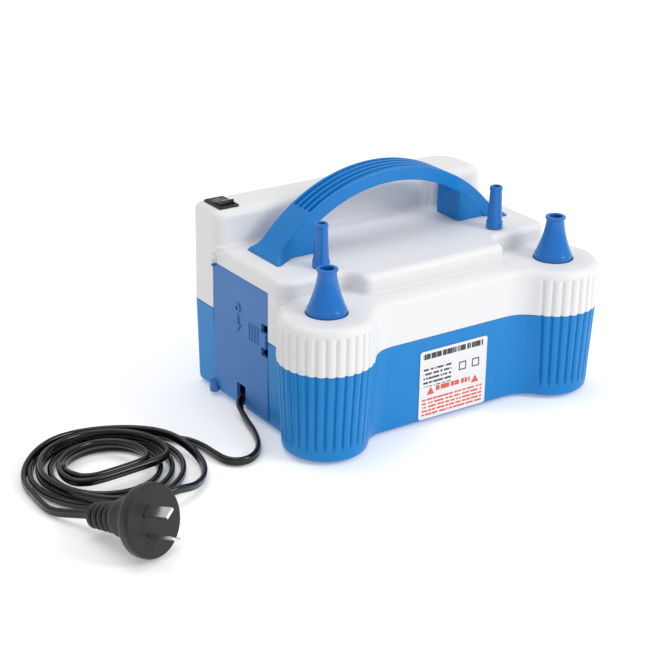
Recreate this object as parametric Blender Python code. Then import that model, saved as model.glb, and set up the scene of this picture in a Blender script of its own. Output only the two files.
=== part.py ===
"""Twin-nozzle mains balloon pump, built as separate parts on one set of sizes.

Sizes are in millimetres, and MM turns them into Blender's metres as each mesh is made.
The frame has +Z up and the front wall, with the rating label, facing -Y. The origin is on
the standing surface, midway between the two nozzles and midway through the body's depth.
"""
import math

import bmesh
import bpy
from mathutils import Matrix, Vector

MM = 0.001
GAP = 0.3                     # clearance between pieces that touch
WALL = 2.5                    # moulded shell wall
OVERLAP = 2.0                 # how far joined solids and cutters reach past a face
STEP_BACK = 0.1               # each storey of the top shell stands this much inside the one below
SMALL_RADIUS = 0.4

# body
HALF_WIDTH = 98.9             # side wall
BACK_Y = 75.2
FRONT_Y = -54.3
COLUMN_IN = 15.9              # column axis inside the side wall
COLUMN_BACK = 7.3             # column axis behind the front wall
COLUMN_X = HALF_WIDTH - COLUMN_IN
COLUMN_Y = FRONT_Y + COLUMN_BACK
COLUMN_RADIUS = 28.2          # white rib crests at the parting line
COLUMN_DRAFT = 2.8            # narrowing of a column from the parting line to its foot
WALL_DRAFT = 1.1
COLUMN_BLEND = 22.0           # hollow between a column and the front wall
SIDE_BLEND = 3.0              # hollow between a column and the side wall
REAR_RADIUS = 14.0
RIB_COUNT = 16
RIB_DEPTH = 1.1
RIB_LEAD = 3.5                # degrees of plain column before the first rib
SKIRT = 0.5                   # the white shell stands this much proud of the blue one
BODY_BOTTOM = 1.2
PARTING_Z = 55.5
COLUMN_TOP = 83.5
DECK_RISE = 12.0              # deck above the column tops
TOWER_RISE = 21.5             # tower above the deck
DECK_Z = COLUMN_TOP + DECK_RISE
TOWER_TOP = DECK_Z + TOWER_RISE
RIB_FOOT = 8.0                # ribs fade in over 3 mm above this height
RIB_HEAD = 6.0                # and fade out over 3 mm up to this far below the column tops
BOTTOM_ROUND = 3.0
SHOULDER_ROUND = 5.0
DECK_ROUND = 4.0

# storeys of the top shell
PLATEAU_X = COLUMN_X - 31.0   # half width of the forward plateau
PLATEAU_Y = FRONT_Y + 14.1
NOTCH_Y = COLUMN_Y + 23.0     # wall behind each nozzle
TOWER_DEPTH = 31.7
BULGE_DEPTH = 40.6            # depth of the tower's right end
BULGE_WIDTH = 46.9
TOWER_Y = BACK_Y - TOWER_DEPTH
BULGE_X = HALF_WIDTH - BULGE_WIDTH
BULGE_Y = BACK_Y - BULGE_DEPTH
TOWER_LEFT_ROUND = 5.0
TOWER_RIGHT_ROUND = 12.0

# handle
HANDLE_SPAN = COLUMN_X - 0.35 # from the middle to where the outer arc meets the deck
HANDLE_RISE = 43.1            # top of the arc above the deck
HANDLE_THICKNESS = 8.5
HANDLE_WIDTH = 22.5
GROOVE_COUNT = 4
GROOVE_WIDTH = 2.2
GROOVE_DEPTH = 1.0
GROOVE_CLEAR = 22.45          # degrees of plain band between a foot and the grooves
FLARE_HEIGHT = 9.0
FLARE_WIDTH = 4.2
FLARE_OUT = 2.0
HANDLE_Y = BULGE_Y - 0.4 - FLARE_WIDTH - HANDLE_WIDTH / 2   # middle of the band
LEG_X = HANDLE_SPAN - 30.15   # inner face of a leg
LEG_STRIP = 11.5              # full-width strip of a leg
WEB_WIDTH = 11.0              # narrower web behind that strip
WEB_REACH = 23.5              # from the leg's inner face to the web's outer end
HANDLE_SCREW_X = LEG_X + 5.3

# storage door and compartment
DOOR_FRONT_Y = COLUMN_Y + COLUMN_RADIUS + 8.3
DOOR_REAR_Y = BACK_Y - 24.8
DOOR_BOTTOM = 5.6
DOOR_TOP = DECK_Z - 9.9
DOOR_THICKNESS = 2.2
HINGE_OUT = 0.8               # hinge axis outside the door's outer face
HINGE_IN_Y = 1.4              # hinge axis in front of the door's rear edge
KNUCKLE_RADIUS = 3.0
KNUCKLE_TOP = 8.6
PIVOT_RADIUS = 1.2
LUG_HEIGHT = 4.6
LATCH_HIGH = DOOR_TOP - 20.6
LATCH_LOW = LATCH_HIGH - 20.0
LATCH_DEPTH = 7.0
LATCH_TAB = 10.0
GRIP_COUNT = 4
GRIP_PITCH = 3.5
GRIP_LENGTH = 12.0
GRIP_PROUD = 0.5
CORD_NOTCH_TOP = 17.3
BIN_DEPTH = 41.0
BIN_WALL = 1.6
BIN_BOTTOM = 6.0
BIN_TOP = DOOR_TOP - 1.2

# cord and plug
CORD_Y = 19.0
CORD_EXIT_Z = 12.8
CORD_DIAMETER = 5.2
CORD_SLOT_WIDTH = CORD_DIAMETER + 1.6
CORD_NOTCH_WIDTH = CORD_DIAMETER + 4.4
FLOOR_LIFT = 0.05
CORD_TURN = 13.0              # radius of the turn along the wall
CORD_DROP = 22.0              # length over which the cord falls to the floor
RELIEF_LENGTH = 24.0
COIL_OUT = 104.2              # coil centre outside the door's face
COIL_Y = -11.0
COIL_INNER = 23.0
COIL_OUTER = 45.0
COIL_HEIGHT = 11.0
COIL_ENTRY = 25.0             # degrees round the coil where the cord joins it
COIL_LEAVE = 180.0
PLUG_OUT = 133.7              # middle of the pin face outside the door's face
PLUG_Y = -100.5
PLUG_RADIUS = 19.6
PLUG_TILT = 18.0
PLUG_HEADING = 284.0
PLUG_RIM = 7.5
PLUG_NECK_RADIUS = 10.3
PLUG_NECK_LENGTH = 16.0
PLUG_RELIEF_LENGTH = 16.5
PLUG_RELIEF_RADIUS = 7.9
PLUG_RIBS = 4
PIN_LENGTH = 17.0
PIN_WIDTH = 6.3
PIN_THICKNESS = 1.6
PIN_OFFSET = 7.9              # from the plug's centre to a pin's centre
PIN_SLANT = 30.0

# nozzles and valves
SLEEVE_RADIUS = 9.0
NOZZLE_BASE_RADIUS = SLEEVE_RADIUS + 2.5
NOZZLE_TOP_RADIUS = 5.6
NOZZLE_HEIGHT = 27.4
NOZZLE_SINK = 1.0             # the nozzle's base stands below the column top
NOZZLE_WALL = 0.9             # least wall round the spigot
NOZZLE_HOLE = NOZZLE_BASE_RADIUS + 1.7
SPIGOT_RADIUS = SLEEVE_RADIUS - 1.5
SPIGOT_LENGTH = 8.0
SLEEVE_WALL = 1.8
SLEEVE_LENGTH = 24.0
FLANGE_RADIUS = NOZZLE_HOLE - 0.4
FLANGE_THICKNESS = 2.4
PRESS_TRAVEL = 4.0            # how far a sleeve goes down
VALVE_RADIUS = SLEEVE_RADIUS + 3.5
VALVE_TOP = COLUMN_TOP - 13.5
SHELF_THICKNESS = 3.9
MICROSWITCH_Z = VALVE_TOP - 6.3
SPRING_WIRE = 1.2
SPRING_TURNS = 3
SPARE_X = COLUMN_X - 18.9
SPARE_Y = NOTCH_Y + 11.1
SPARE_HEIGHT = 26.6
SPARE_BASE_RADIUS = 5.2
SPARE_TOP_RADIUS = 3.65
POST_RADIUS = 2.6
POST_HEIGHT = 12.0
LEVER_LENGTH = 17.8
LEVER_PIVOT_IN = SLEEVE_RADIUS + LEVER_LENGTH + 1.7   # from the column's axis in to the lever's pivot
LEVER_WIDTH = 4.4
LEVER_THICKNESS = 0.8

# switch on the tower
SWITCH_X = 11.7 - HALF_WIDTH
SWITCH_Y = BACK_Y - 15.6
SWITCH_BODY_WIDTH = 12.6
SWITCH_BODY_LENGTH = 18.6
SWITCH_WIDTH = SWITCH_BODY_WIDTH + 2.4
SWITCH_LENGTH = SWITCH_BODY_LENGTH + 2.0
SWITCH_DEPTH = 16.0
BEZEL_THICKNESS = 1.3
ROCKER_WIDTH = SWITCH_BODY_WIDTH - 3.0
ROCKER_LENGTH = SWITCH_BODY_LENGTH - 4.0
ROCKER_TILT = 10.0            # front end up, the switch's off position

# motor and fan on one axis along Y
MOTOR_X = COLUMN_X - 65.0
MOTOR_Z = 48.0
HOUSING_RADIUS = 32.0
HOUSING_LENGTH = 57.0
FAN_CASE_RADIUS = 38.0
FAN_CASE_LENGTH = 29.0
FAN_CASE_BACK = BACK_Y - 15.2
HOUSING_BACK = FAN_CASE_BACK - FAN_CASE_LENGTH
HOUSING_FRONT = HOUSING_BACK - HOUSING_LENGTH
CASE_WALL = 2.0
IMPELLER_RADIUS = FAN_CASE_RADIUS - CASE_WALL - 2.0
IMPELLER_WIDTH = 14.0
BLADE_COUNT = 9
STATOR_RADIUS = HOUSING_RADIUS - CASE_WALL - 3.0
STATOR_BORE = 17.0
STATOR_LENGTH = 26.0
STATOR_FRONT = HOUSING_FRONT + 24.0
ARMATURE_RADIUS = STATOR_BORE - 0.6
ARMATURE_SLOTS = 12
SLOT_DEPTH = 2.2
COMMUTATOR_RADIUS = 9.0
COMMUTATOR_LENGTH = 9.0
SHAFT_RADIUS = 3.0
BEARING_RADIUS = 8.0
BEARING_WIDTH = 5.0
BRUSH_SIZE = 5.0
DUCT_RADIUS = 7.5
DUCT_BORE = 5.7
DUCT_Z = MOTOR_Z - 8.0
VALVE_BOTTOM = DUCT_Z - 12.0
SLOT_COUNT = 9
SLOT_PITCH = 5.6
SLOT_WIDTH = 2.6
SLOT_BOTTOM = 24.0
SLOT_TOP = PARTING_Z - 7.5

# fasteners, feet and label
HOUSING_SCREWS = ((38.9 - HALF_WIDTH, BACK_Y - 9.2), (HALF_WIDTH - 34.9, BACK_Y - 9.2),
                  (-30.0, FRONT_Y + 8.3), (30.0, FRONT_Y + 8.3))
BOSS_RADIUS = 4.5
BOSS_SPLIT = 30.0             # where the bottom shell's bosses meet the top shell's
SCREW_RADIUS = 1.5
SCREW_HEAD_RADIUS = 3.2
REAR_FOOT_X = HALF_WIDTH - 18.9
REAR_FOOT_Y = BACK_Y - 21.2
FEET = ((-COLUMN_X, COLUMN_Y), (COLUMN_X, COLUMN_Y), (-REAR_FOOT_X, REAR_FOOT_Y), (REAR_FOOT_X, REAR_FOOT_Y))
FOOT_RADIUS = 6.0
FOOT_SEAT = 1.0
LABEL_LEFT = -21.7
LABEL_RIGHT = 28.1
LABEL_BOTTOM = 4.5
LABEL_TOP = PARTING_Z - 9.5
LABEL_THICKNESS = 0.4

DOOR_OUTER_X = -(HALF_WIDTH - 0.1)
HINGE_X = DOOR_OUTER_X - HINGE_OUT
HINGE_Y = DOOR_REAR_Y - HINGE_IN_Y
CORD_RADIUS = CORD_DIAMETER / 2
RELIEF_RADIUS = CORD_RADIUS + 0.2
HANDLE_RADIUS = (HANDLE_SPAN ** 2 + HANDLE_RISE ** 2) / (2 * HANDLE_RISE)
HANDLE_CENTRE_Z = DECK_Z + HANDLE_RISE - HANDLE_RADIUS
NOZZLE_BASE_Z = COLUMN_TOP - NOZZLE_SINK
COIL_CENTRE = (DOOR_OUTER_X - COIL_OUT, COIL_Y)
PLUG_CENTRE = (DOOR_OUTER_X - PLUG_OUT, PLUG_Y)
BIN_FRONT = DOOR_OUTER_X + DOOR_THICKNESS + 1.2
BIN_BACK = BIN_FRONT + BIN_DEPTH
CLAMP_X = BIN_BACK + 3.2
CLAMP_WIDTH = 7.0
CLAMP_REACH = 11.0            # half the clamp's length across the cord
CLAMP_FIXING = 7.5            # from the cord to the clamp's screw, and to its peg
SADDLE_TOP = CORD_EXIT_Z - RELIEF_RADIUS - 0.2
CLAMP_BAR_Z = CORD_EXIT_Z + RELIEF_RADIUS + GAP
FLANGE_TOP = NOZZLE_BASE_Z - GAP
FLANGE_BOTTOM = FLANGE_TOP - FLANGE_THICKNESS
STATOR_BACK = STATOR_FRONT + STATOR_LENGTH


# ---------------------------------------------------------------- scene and materials

for old in list(bpy.data.objects):
    bpy.data.objects.remove(old, do_unlink=True)


def material(name, colour, roughness, metallic=0.0):
    made = bpy.data.materials.new(name)
    made.use_nodes = True
    shader = made.node_tree.nodes["Principled BSDF"]
    shader.inputs["Base Color"].default_value = (*colour, 1.0)
    shader.inputs["Roughness"].default_value = roughness
    shader.inputs["Metallic"].default_value = metallic
    return made


WHITE = (0.80, 0.80, 0.81)
BLUE = (0.005, 0.21, 0.67)
BLACK = (0.012, 0.012, 0.013)
GREY = (0.16, 0.16, 0.165)
STEEL = (0.55, 0.55, 0.56)
COPPER = (0.65, 0.27, 0.12)
BRASS = (0.72, 0.55, 0.27)


# ---------------------------------------------------------------- mesh helpers

def finish(name, bm, colour, roughness, metallic=0.0, origin=(0.0, 0.0, 0.0), smooth=True):
    """Turn a mesh in millimetres into an object in metres, with its origin at the given point."""
    bmesh.ops.recalc_face_normals(bm, faces=bm.faces)
    bmesh.ops.translate(bm, verts=bm.verts, vec=-Vector(origin))
    bmesh.ops.scale(bm, verts=bm.verts, vec=(MM, MM, MM))
    mesh = bpy.data.meshes.new(name)
    bm.to_mesh(mesh)
    bm.free()
    if smooth:
        mesh.shade_smooth()
        mesh.set_sharp_from_angle(angle=math.radians(35.0))
    made = bpy.data.objects.new(name, mesh)
    bpy.context.collection.objects.link(made)
    made.location = Vector(origin) * MM
    mesh.materials.append(material(name, colour, roughness, metallic))
    return made


def add_rings(bm, rings, closed=False):
    """Skin a list of rings of equal length, capping the ends unless the last joins the first."""
    loops = [[bm.verts.new(point) for point in ring] for ring in rings]
    count = len(loops)
    size = len(loops[0])
    for i in range(count if closed else count - 1):
        low = loops[i]
        high = loops[(i + 1) % count]
        for j in range(size):
            k = (j + 1) % size
            bm.faces.new((low[j], low[k], high[k], high[j]))
    if not closed:
        bm.faces.new(list(reversed(loops[0])))
        bm.faces.new(loops[-1])


def loft(rings):
    bm = bmesh.new()
    add_rings(bm, rings)
    return bm


def at_height(outline, z):
    return [(x, y, z) for x, y in outline]


def prism(outline, low, high):
    return loft([at_height(outline, low), at_height(outline, high)])


def add_box(bm, low, high):
    outline = ((low[0], low[1]), (high[0], low[1]), (high[0], high[1]), (low[0], high[1]))
    add_rings(bm, [at_height(outline, low[2]), at_height(outline, high[2])])


def box(low, high):
    bm = bmesh.new()
    add_box(bm, low, high)
    return bm


def circle(x, y, radius, sides):
    angles = [2 * math.pi * i / sides for i in range(sides)]
    return [(x + radius * math.cos(a), y + radius * math.sin(a)) for a in angles]


def add_turned(bm, profile, matrix, sides=24, closed=False):
    """Turn a (radius, height) profile about +Z, then place it; closed makes a ring."""
    rings = []
    for radius, height in profile:
        ring = [matrix @ Vector((x, y, height)) for x, y in circle(0.0, 0.0, radius, sides)]
        rings.append(ring)
    add_rings(bm, rings, closed)


def turned(profile, matrix, sides=24, closed=False):
    bm = bmesh.new()
    add_turned(bm, profile, matrix, sides, closed)
    return bm


def upright(x, y, z=0.0):
    return Matrix.Translation((x, y, z))


def along(start, direction):
    """Matrix that lays +Z along a direction from a start point."""
    turn = Vector((0.0, 0.0, 1.0)).rotation_difference(Vector(direction).normalized())
    return Matrix.Translation(start) @ turn.to_matrix().to_4x4()


def motor_axis(y=0.0):
    """Matrix that lays +Z along +Y on the motor's axis."""
    return along((MOTOR_X, y, MOTOR_Z), (0.0, 1.0, 0.0))


def rod(x, y, radius, low, high, sides=20):
    return turned([(radius, low), (radius, high)], upright(x, y), sides)


def tube_profile(outer, inner, low, high):
    return [(inner, low), (outer, low), (outer, high), (inner, high)]


def round_corners(corners, inset=0.0):
    """Anticlockwise outline through (x, y, radius, steps) corners, moved inwards by inset."""
    outline = []
    count = len(corners)
    for i, (x, y, radius, steps) in enumerate(corners):
        here = Vector((x, y))
        into = (here - Vector(corners[i - 1][:2])).normalized()
        out = (Vector(corners[(i + 1) % count][:2]) - here).normalized()
        turn = math.atan2(into.x * out.y - into.y * out.x, into.dot(out))
        bend = 1.0 if turn > 0 else -1.0
        left_in = Vector((-into.y, into.x))
        left_out = Vector((-out.y, out.x))
        diagonal = (left_in + left_out) / (1.0 + left_in.dot(left_out))
        arc = max(radius - bend * inset, SMALL_RADIUS)
        centre = here + diagonal * (inset + bend * arc)
        start = left_in * (-bend * arc)
        for k in range(steps + 1):
            angle = turn * k / steps
            cosine = math.cos(angle)
            sine = math.sin(angle)
            outline.append((centre.x + start.x * cosine - start.y * sine,
                            centre.y + start.x * sine + start.y * cosine))
    return outline


def round_over(radius, depth):
    """Inset of a quarter-round edge at a depth below its top."""
    if depth >= radius:
        return 0.0
    return radius - math.sqrt(radius ** 2 - (radius - depth) ** 2)


def guide(made):
    made.hide_render = True
    made.display_type = "WIRE"
    return made


def combine(target, bm, operation, name):
    """Join or cut a target with a second solid, kept as a hidden guide."""
    other = guide(finish(name, bm, GREY, 0.5, smooth=False))
    change = target.modifiers.new(name, "BOOLEAN")
    change.operation = operation
    change.solver = "EXACT"
    change.object = other


def join(target, bm, name):
    combine(target, bm, "UNION", name)


def cut(target, bm, name):
    combine(target, bm, "DIFFERENCE", name)


# ---------------------------------------------------------------- outlines of the body

def half_body(column_radius, lean, inset, ribs, steps):
    """Right half of the body's outline, from the front wall round to the back wall."""
    radius = column_radius - inset
    front = FRONT_Y + inset
    side = HALF_WIDTH - lean - inset
    back = BACK_Y - lean - inset
    blend = COLUMN_BLEND + inset
    drop = COLUMN_Y - (front - blend)
    reach = math.sqrt((radius + blend) ** 2 - drop ** 2)
    meet = math.atan2(drop, reach)
    points = []
    for k in range(7):
        angle = math.pi / 2 + (meet - math.pi / 2) * k / 6
        points.append((COLUMN_X - reach + blend * math.cos(angle), front - blend + blend * math.sin(angle)))
    hollow = SIDE_BLEND + inset
    sideways = side + hollow - COLUMN_X
    upwards = math.sqrt((radius + hollow) ** 2 - sideways ** 2)
    leave = math.atan2(upwards, sideways)
    first = math.pi + meet + math.radians(RIB_LEAD)
    pitch = (2 * math.pi + leave - first) / RIB_COUNT
    for rib in range(0, RIB_COUNT, 4 - len(steps)):
        for share, groove in steps:
            depth = ribs * groove
            angle = first + pitch * (rib + share)
            points.append((COLUMN_X + (radius - depth) * math.cos(angle),
                           COLUMN_Y + (radius - depth) * math.sin(angle)))
    for k in range(3):
        angle = math.pi + leave - leave * k / 2
        points.append((side + hollow + hollow * math.cos(angle),
                       COLUMN_Y + upwards + hollow * math.sin(angle)))
    corner = REAR_RADIUS - inset
    for k in range(6):
        angle = math.pi / 2 * k / 5
        points.append((side - corner + corner * math.cos(angle), back - corner + corner * math.sin(angle)))
    return points


def body_outline(column_radius, lean=0.0, inset=0.0, ribs=0.0):
    right = half_body(column_radius, lean, inset, ribs, ((0.0, 1.0), (0.28, 0.0), (0.72, 0.0)))
    return right + [(-x, y) for x, y in reversed(right)]


def hollow_outline(column_radius, lean, inset):
    right = half_body(column_radius, lean, inset, 0.0, ((0.0, 0.0), (1.0, 0.0)))
    return right + [(-x, y) for x, y in reversed(right)]


def deck_outline(inset):
    side = HALF_WIDTH - STEP_BACK
    back = BACK_Y - STEP_BACK
    return round_corners((
        (-PLATEAU_X, PLATEAU_Y, 5.0, 4), (PLATEAU_X, PLATEAU_Y, 5.0, 4),
        (PLATEAU_X, NOTCH_Y, 6.0, 4), (side, NOTCH_Y, 8.0, 4),
        (side, back, REAR_RADIUS, 5), (-side, back, REAR_RADIUS, 5),
        (-side, NOTCH_Y, 8.0, 4), (-PLATEAU_X, NOTCH_Y, 6.0, 4)), inset)


def tower_outline(left, right):
    """Tower and its deeper right end; the left and right ends take their own edge insets."""
    side = HALF_WIDTH - 2 * STEP_BACK
    back = BACK_Y - 2 * STEP_BACK - left
    return round_corners((
        (-side + left, TOWER_Y + left, max(8.0 - left, 1.0), 4),
        (BULGE_X + left, TOWER_Y + left, 4.0 + left, 3),
        (BULGE_X + left, BULGE_Y + left, max(6.0 - left, 1.0), 3),
        (side - right, BULGE_Y + left, max(14.0 - right, 1.0), 5),
        (side - right, back, max(22.0 - right, 1.0), 6),
        (-side + left, back, max(REAR_RADIUS - left, 1.0), 5)))


def wall_lean(z):
    return WALL_DRAFT * (1.0 - min(z / PARTING_Z, 1.0))


def blue_radius(z):
    """Column radius of the bottom shell at a height."""
    return COLUMN_RADIUS - SKIRT - COLUMN_DRAFT * (1.0 - z / PARTING_Z)


# ---------------------------------------------------------------- shells

def door_opening():
    """Cutter for the door's opening through the left wall."""
    low = (DOOR_OUTER_X - 6.0, DOOR_FRONT_Y - GAP, DOOR_BOTTOM - GAP)
    high = (-HALF_WIDTH + 2 * WALL + 1.0, DOOR_REAR_Y + GAP, DOOR_TOP + GAP)
    return box(low, high)


def build_bottom_shell():
    top = PARTING_Z - GAP
    rings = []
    for depth in (0.0, BOTTOM_ROUND * 0.4, BOTTOM_ROUND):
        z = BODY_BOTTOM + depth
        inset = round_over(BOTTOM_ROUND, depth)
        rings.append(at_height(body_outline(blue_radius(z), wall_lean(z), inset), z))
    for z, ribs in ((RIB_FOOT, 0.0), (RIB_FOOT + 3.0, RIB_DEPTH), (top, RIB_DEPTH)):
        rings.append(at_height(body_outline(blue_radius(z), wall_lean(z), 0.0, ribs), z))
    shell = finish("bottom_shell", loft(rings), BLUE, 0.38)

    floor = BODY_BOTTOM + WALL
    hollow = []
    for z, extra in ((floor, 1.0), (floor + 2.0, 0.0), (PARTING_Z + OVERLAP, 0.0)):
        inset = WALL + RIB_DEPTH * 0.5 + extra
        hollow.append(at_height(hollow_outline(blue_radius(z), wall_lean(z), inset), z))
    cut(shell, loft(hollow), "bottom_hollow")
    cut(shell, door_opening(), "door_opening_low")

    bosses = bmesh.new()
    holes = bmesh.new()
    for x, y in HOUSING_SCREWS:
        add_turned(bosses, [(BOSS_RADIUS, BODY_BOTTOM + 1.0), (BOSS_RADIUS, BOSS_SPLIT - GAP)],
                   upright(x, y), 16)
        add_turned(holes, [(SCREW_HEAD_RADIUS + GAP, 0.0), (SCREW_HEAD_RADIUS + GAP, 7.0),
                           (SCREW_RADIUS + GAP, 7.01), (SCREW_RADIUS + GAP, BOSS_SPLIT + OVERLAP)],
                   upright(x, y), 14)
    join(shell, bosses, "bottom_bosses")
    join(shell, box((CLAMP_X, CORD_Y - CLAMP_REACH, BODY_BOTTOM + 1.0),
                    (CLAMP_X + CLAMP_WIDTH, CORD_Y + CLAMP_REACH, SADDLE_TOP)), "clamp_saddle")
    middle = CLAMP_X + CLAMP_WIDTH / 2
    join(shell, rod(middle, CORD_Y - CLAMP_FIXING, 1.5, SADDLE_TOP - 2.0, CLAMP_BAR_Z + 1.5, 12),
         "clamp_peg")
    add_turned(holes, [(1.6, SADDLE_TOP - 5.0), (1.6, SADDLE_TOP + OVERLAP)],
               upright(middle, CORD_Y + CLAMP_FIXING), 12)
    for x, y in FEET:
        add_turned(holes, [(FOOT_RADIUS + GAP, 0.0), (FOOT_RADIUS + GAP, BODY_BOTTOM + FOOT_SEAT)],
                   upright(x, y), 20)
    for i in range(SLOT_COUNT):
        x = MOTOR_X + SLOT_PITCH * (i - (SLOT_COUNT - 1) / 2)
        add_box(holes, (x - SLOT_WIDTH / 2, BACK_Y - WALL - 6.0, SLOT_BOTTOM),
                (x + SLOT_WIDTH / 2, BACK_Y + OVERLAP, SLOT_TOP))
    half = CORD_SLOT_WIDTH / 2
    add_box(holes, (-HALF_WIDTH - OVERLAP, CORD_Y - half, BODY_BOTTOM - OVERLAP),
            (BIN_FRONT + 7.4, CORD_Y + half, BIN_BOTTOM + 3.0))
    add_turned(holes, [(KNUCKLE_RADIUS + 2 * GAP, -1.0), (KNUCKLE_RADIUS + 2 * GAP, KNUCKLE_TOP + GAP)],
               upright(HINGE_X, HINGE_Y), 20)
    cut(shell, holes, "bottom_holes")


def build_top_shell():
    rings = []
    rib_end = COLUMN_TOP - RIB_HEAD
    for z, ribs in ((PARTING_Z, RIB_DEPTH), (rib_end - 3.0, RIB_DEPTH), (rib_end, 0.0)):
        rings.append(at_height(body_outline(COLUMN_RADIUS, 0.0, 0.0, ribs), z))
    for depth in (SHOULDER_ROUND, 2.2, 0.0):
        inset = round_over(SHOULDER_ROUND, depth)
        rings.append(at_height(body_outline(COLUMN_RADIUS, 0.0, inset), COLUMN_TOP - depth))
    shell = finish("top_shell", loft(rings), WHITE, 0.35)

    deck = [at_height(deck_outline(0.0), COLUMN_TOP - 7.0)]
    for depth in (DECK_ROUND, 1.5, 0.0):
        deck.append(at_height(deck_outline(round_over(DECK_ROUND, depth)), DECK_Z - depth))
    join(shell, loft(deck), "deck_block")

    tower = [at_height(tower_outline(0.0, 0.0), DECK_Z - 8.0)]
    for depth in (TOWER_RIGHT_ROUND, 8.0, TOWER_LEFT_ROUND, 1.8, 0.0):
        tower.append(at_height(tower_outline(round_over(TOWER_LEFT_ROUND, depth),
                                             round_over(TOWER_RIGHT_ROUND, depth)), TOWER_TOP - depth))
    join(shell, loft(tower), "tower_block")

    inset = WALL + RIB_DEPTH * 0.5
    outline = hollow_outline(COLUMN_RADIUS, 0.0, inset)
    cut(shell, prism(outline, PARTING_Z - OVERLAP, COLUMN_TOP - WALL), "body_hollow")
    cut(shell, prism(deck_outline(WALL + 0.3), COLUMN_TOP - 8.0, DECK_Z - WALL), "deck_hollow")
    wall = WALL + 0.5
    inner = [at_height(tower_outline(wall, wall), DECK_Z - 6.0),
             at_height(tower_outline(wall, wall), TOWER_TOP - TOWER_RIGHT_ROUND),
             at_height(tower_outline(wall + 1.0, wall + 6.0), TOWER_TOP - WALL)]
    cut(shell, loft(inner), "tower_hollow")

    added = bmesh.new()
    for x, y in HOUSING_SCREWS:
        add_turned(added, [(BOSS_RADIUS, BOSS_SPLIT), (BOSS_RADIUS, COLUMN_TOP - WALL + 1.0)],
                   upright(x, y), 16)
    for side in (-1, 1):
        add_turned(added, [(POST_RADIUS, DECK_Z - 1.0), (POST_RADIUS, DECK_Z + POST_HEIGHT - 1.0),
                           (POST_RADIUS - 0.8, DECK_Z + POST_HEIGHT)], upright(side * SPARE_X, SPARE_Y), 16)
    lug = [(HINGE_X - 2.9, HINGE_Y - 2.9), (-HALF_WIDTH + 1.0, HINGE_Y - 2.9),
           (-HALF_WIDTH + 1.0, HINGE_Y + 2.9), (HINGE_X - 2.9, HINGE_Y + 2.9)]
    add_rings(added, [at_height(lug, DOOR_TOP + GAP), at_height(lug, DOOR_TOP + GAP + LUG_HEIGHT)])
    join(shell, added, "bosses_posts_lug")
    for x, y in HOUSING_SCREWS:
        if y > 0:
            join(shell, box((x - 1.2, y, PARTING_Z + 3.0), (x + 1.2, BACK_Y - 1.0, COLUMN_TOP - WALL)),
                 f"boss_web_{x:.0f}")

    cut(shell, door_opening(), "door_opening_high")
    holes = bmesh.new()
    clear = SCREW_RADIUS + GAP
    for side in (-1, 1):
        add_turned(holes, [(NOZZLE_HOLE, COLUMN_TOP - WALL - OVERLAP), (NOZZLE_HOLE, COLUMN_TOP + OVERLAP)],
                   upright(side * COLUMN_X, COLUMN_Y), 32)
        add_turned(holes, [(clear, DECK_Z - WALL - OVERLAP), (clear, DECK_Z + OVERLAP)],
                   upright(side * HANDLE_SCREW_X, HANDLE_Y), 12)
    for x, y in HOUSING_SCREWS:
        add_turned(holes, [(clear, BOSS_SPLIT - OVERLAP), (clear, BOSS_SPLIT + 16.0)], upright(x, y), 12)
    half_width = SWITCH_BODY_WIDTH / 2 + GAP
    half_length = SWITCH_BODY_LENGTH / 2 + GAP
    add_box(holes, (SWITCH_X - half_width, SWITCH_Y - half_length, TOWER_TOP - SWITCH_DEPTH - OVERLAP),
            (SWITCH_X + half_width, SWITCH_Y + half_length, TOWER_TOP + OVERLAP))
    add_turned(holes, [(PIVOT_RADIUS + GAP, DOOR_TOP), (PIVOT_RADIUS + GAP, DOOR_TOP + GAP + 3.4)],
               upright(HINGE_X, HINGE_Y), 14)
    cut(shell, holes, "top_holes")


def build_fasteners():
    for i, (x, y) in enumerate(HOUSING_SCREWS):
        profile = [(SCREW_HEAD_RADIUS, 4.6), (SCREW_HEAD_RADIUS, 6.7), (SCREW_RADIUS, 6.71),
                   (SCREW_RADIUS, BOSS_SPLIT + 14.0)]
        finish(f"housing_screw_{i + 1}", turned(profile, upright(x, y), 14), STEEL, 0.35, 1.0)
    under = DECK_Z - WALL - GAP
    for side_name, side in (("left", -1), ("right", 1)):
        profile = [(SCREW_HEAD_RADIUS, under - 2.2), (SCREW_HEAD_RADIUS, under),
                   (SCREW_RADIUS, under + 0.01), (SCREW_RADIUS, DECK_Z + 9.0)]
        finish("handle_screw_" + side_name, turned(profile, upright(side * HANDLE_SCREW_X, HANDLE_Y), 12),
               STEEL, 0.35, 1.0)


def build_feet():
    seat = BODY_BOTTOM + FOOT_SEAT - GAP
    for i, (x, y) in enumerate(FEET):
        profile = [(FOOT_RADIUS - 0.5, 0.0), (FOOT_RADIUS, 0.6), (FOOT_RADIUS, seat)]
        finish(f"rubber_foot_{i + 1}", turned(profile, upright(x, y), 20), BLACK, 0.8)


def build_label():
    front = FRONT_Y - GAP
    corners = ((LABEL_LEFT, LABEL_BOTTOM, 1.5, 3), (LABEL_RIGHT, LABEL_BOTTOM, 1.5, 3),
               (LABEL_RIGHT, LABEL_TOP, 1.5, 3), (LABEL_LEFT, LABEL_TOP, 1.5, 3))
    outline = round_corners(corners)
    rings = [[(x, y, z) for x, z in outline] for y in (front, front - LABEL_THICKNESS)]
    finish("rating_label", loft(rings), (0.85, 0.85, 0.85), 0.4)


# ---------------------------------------------------------------- handle

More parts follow.
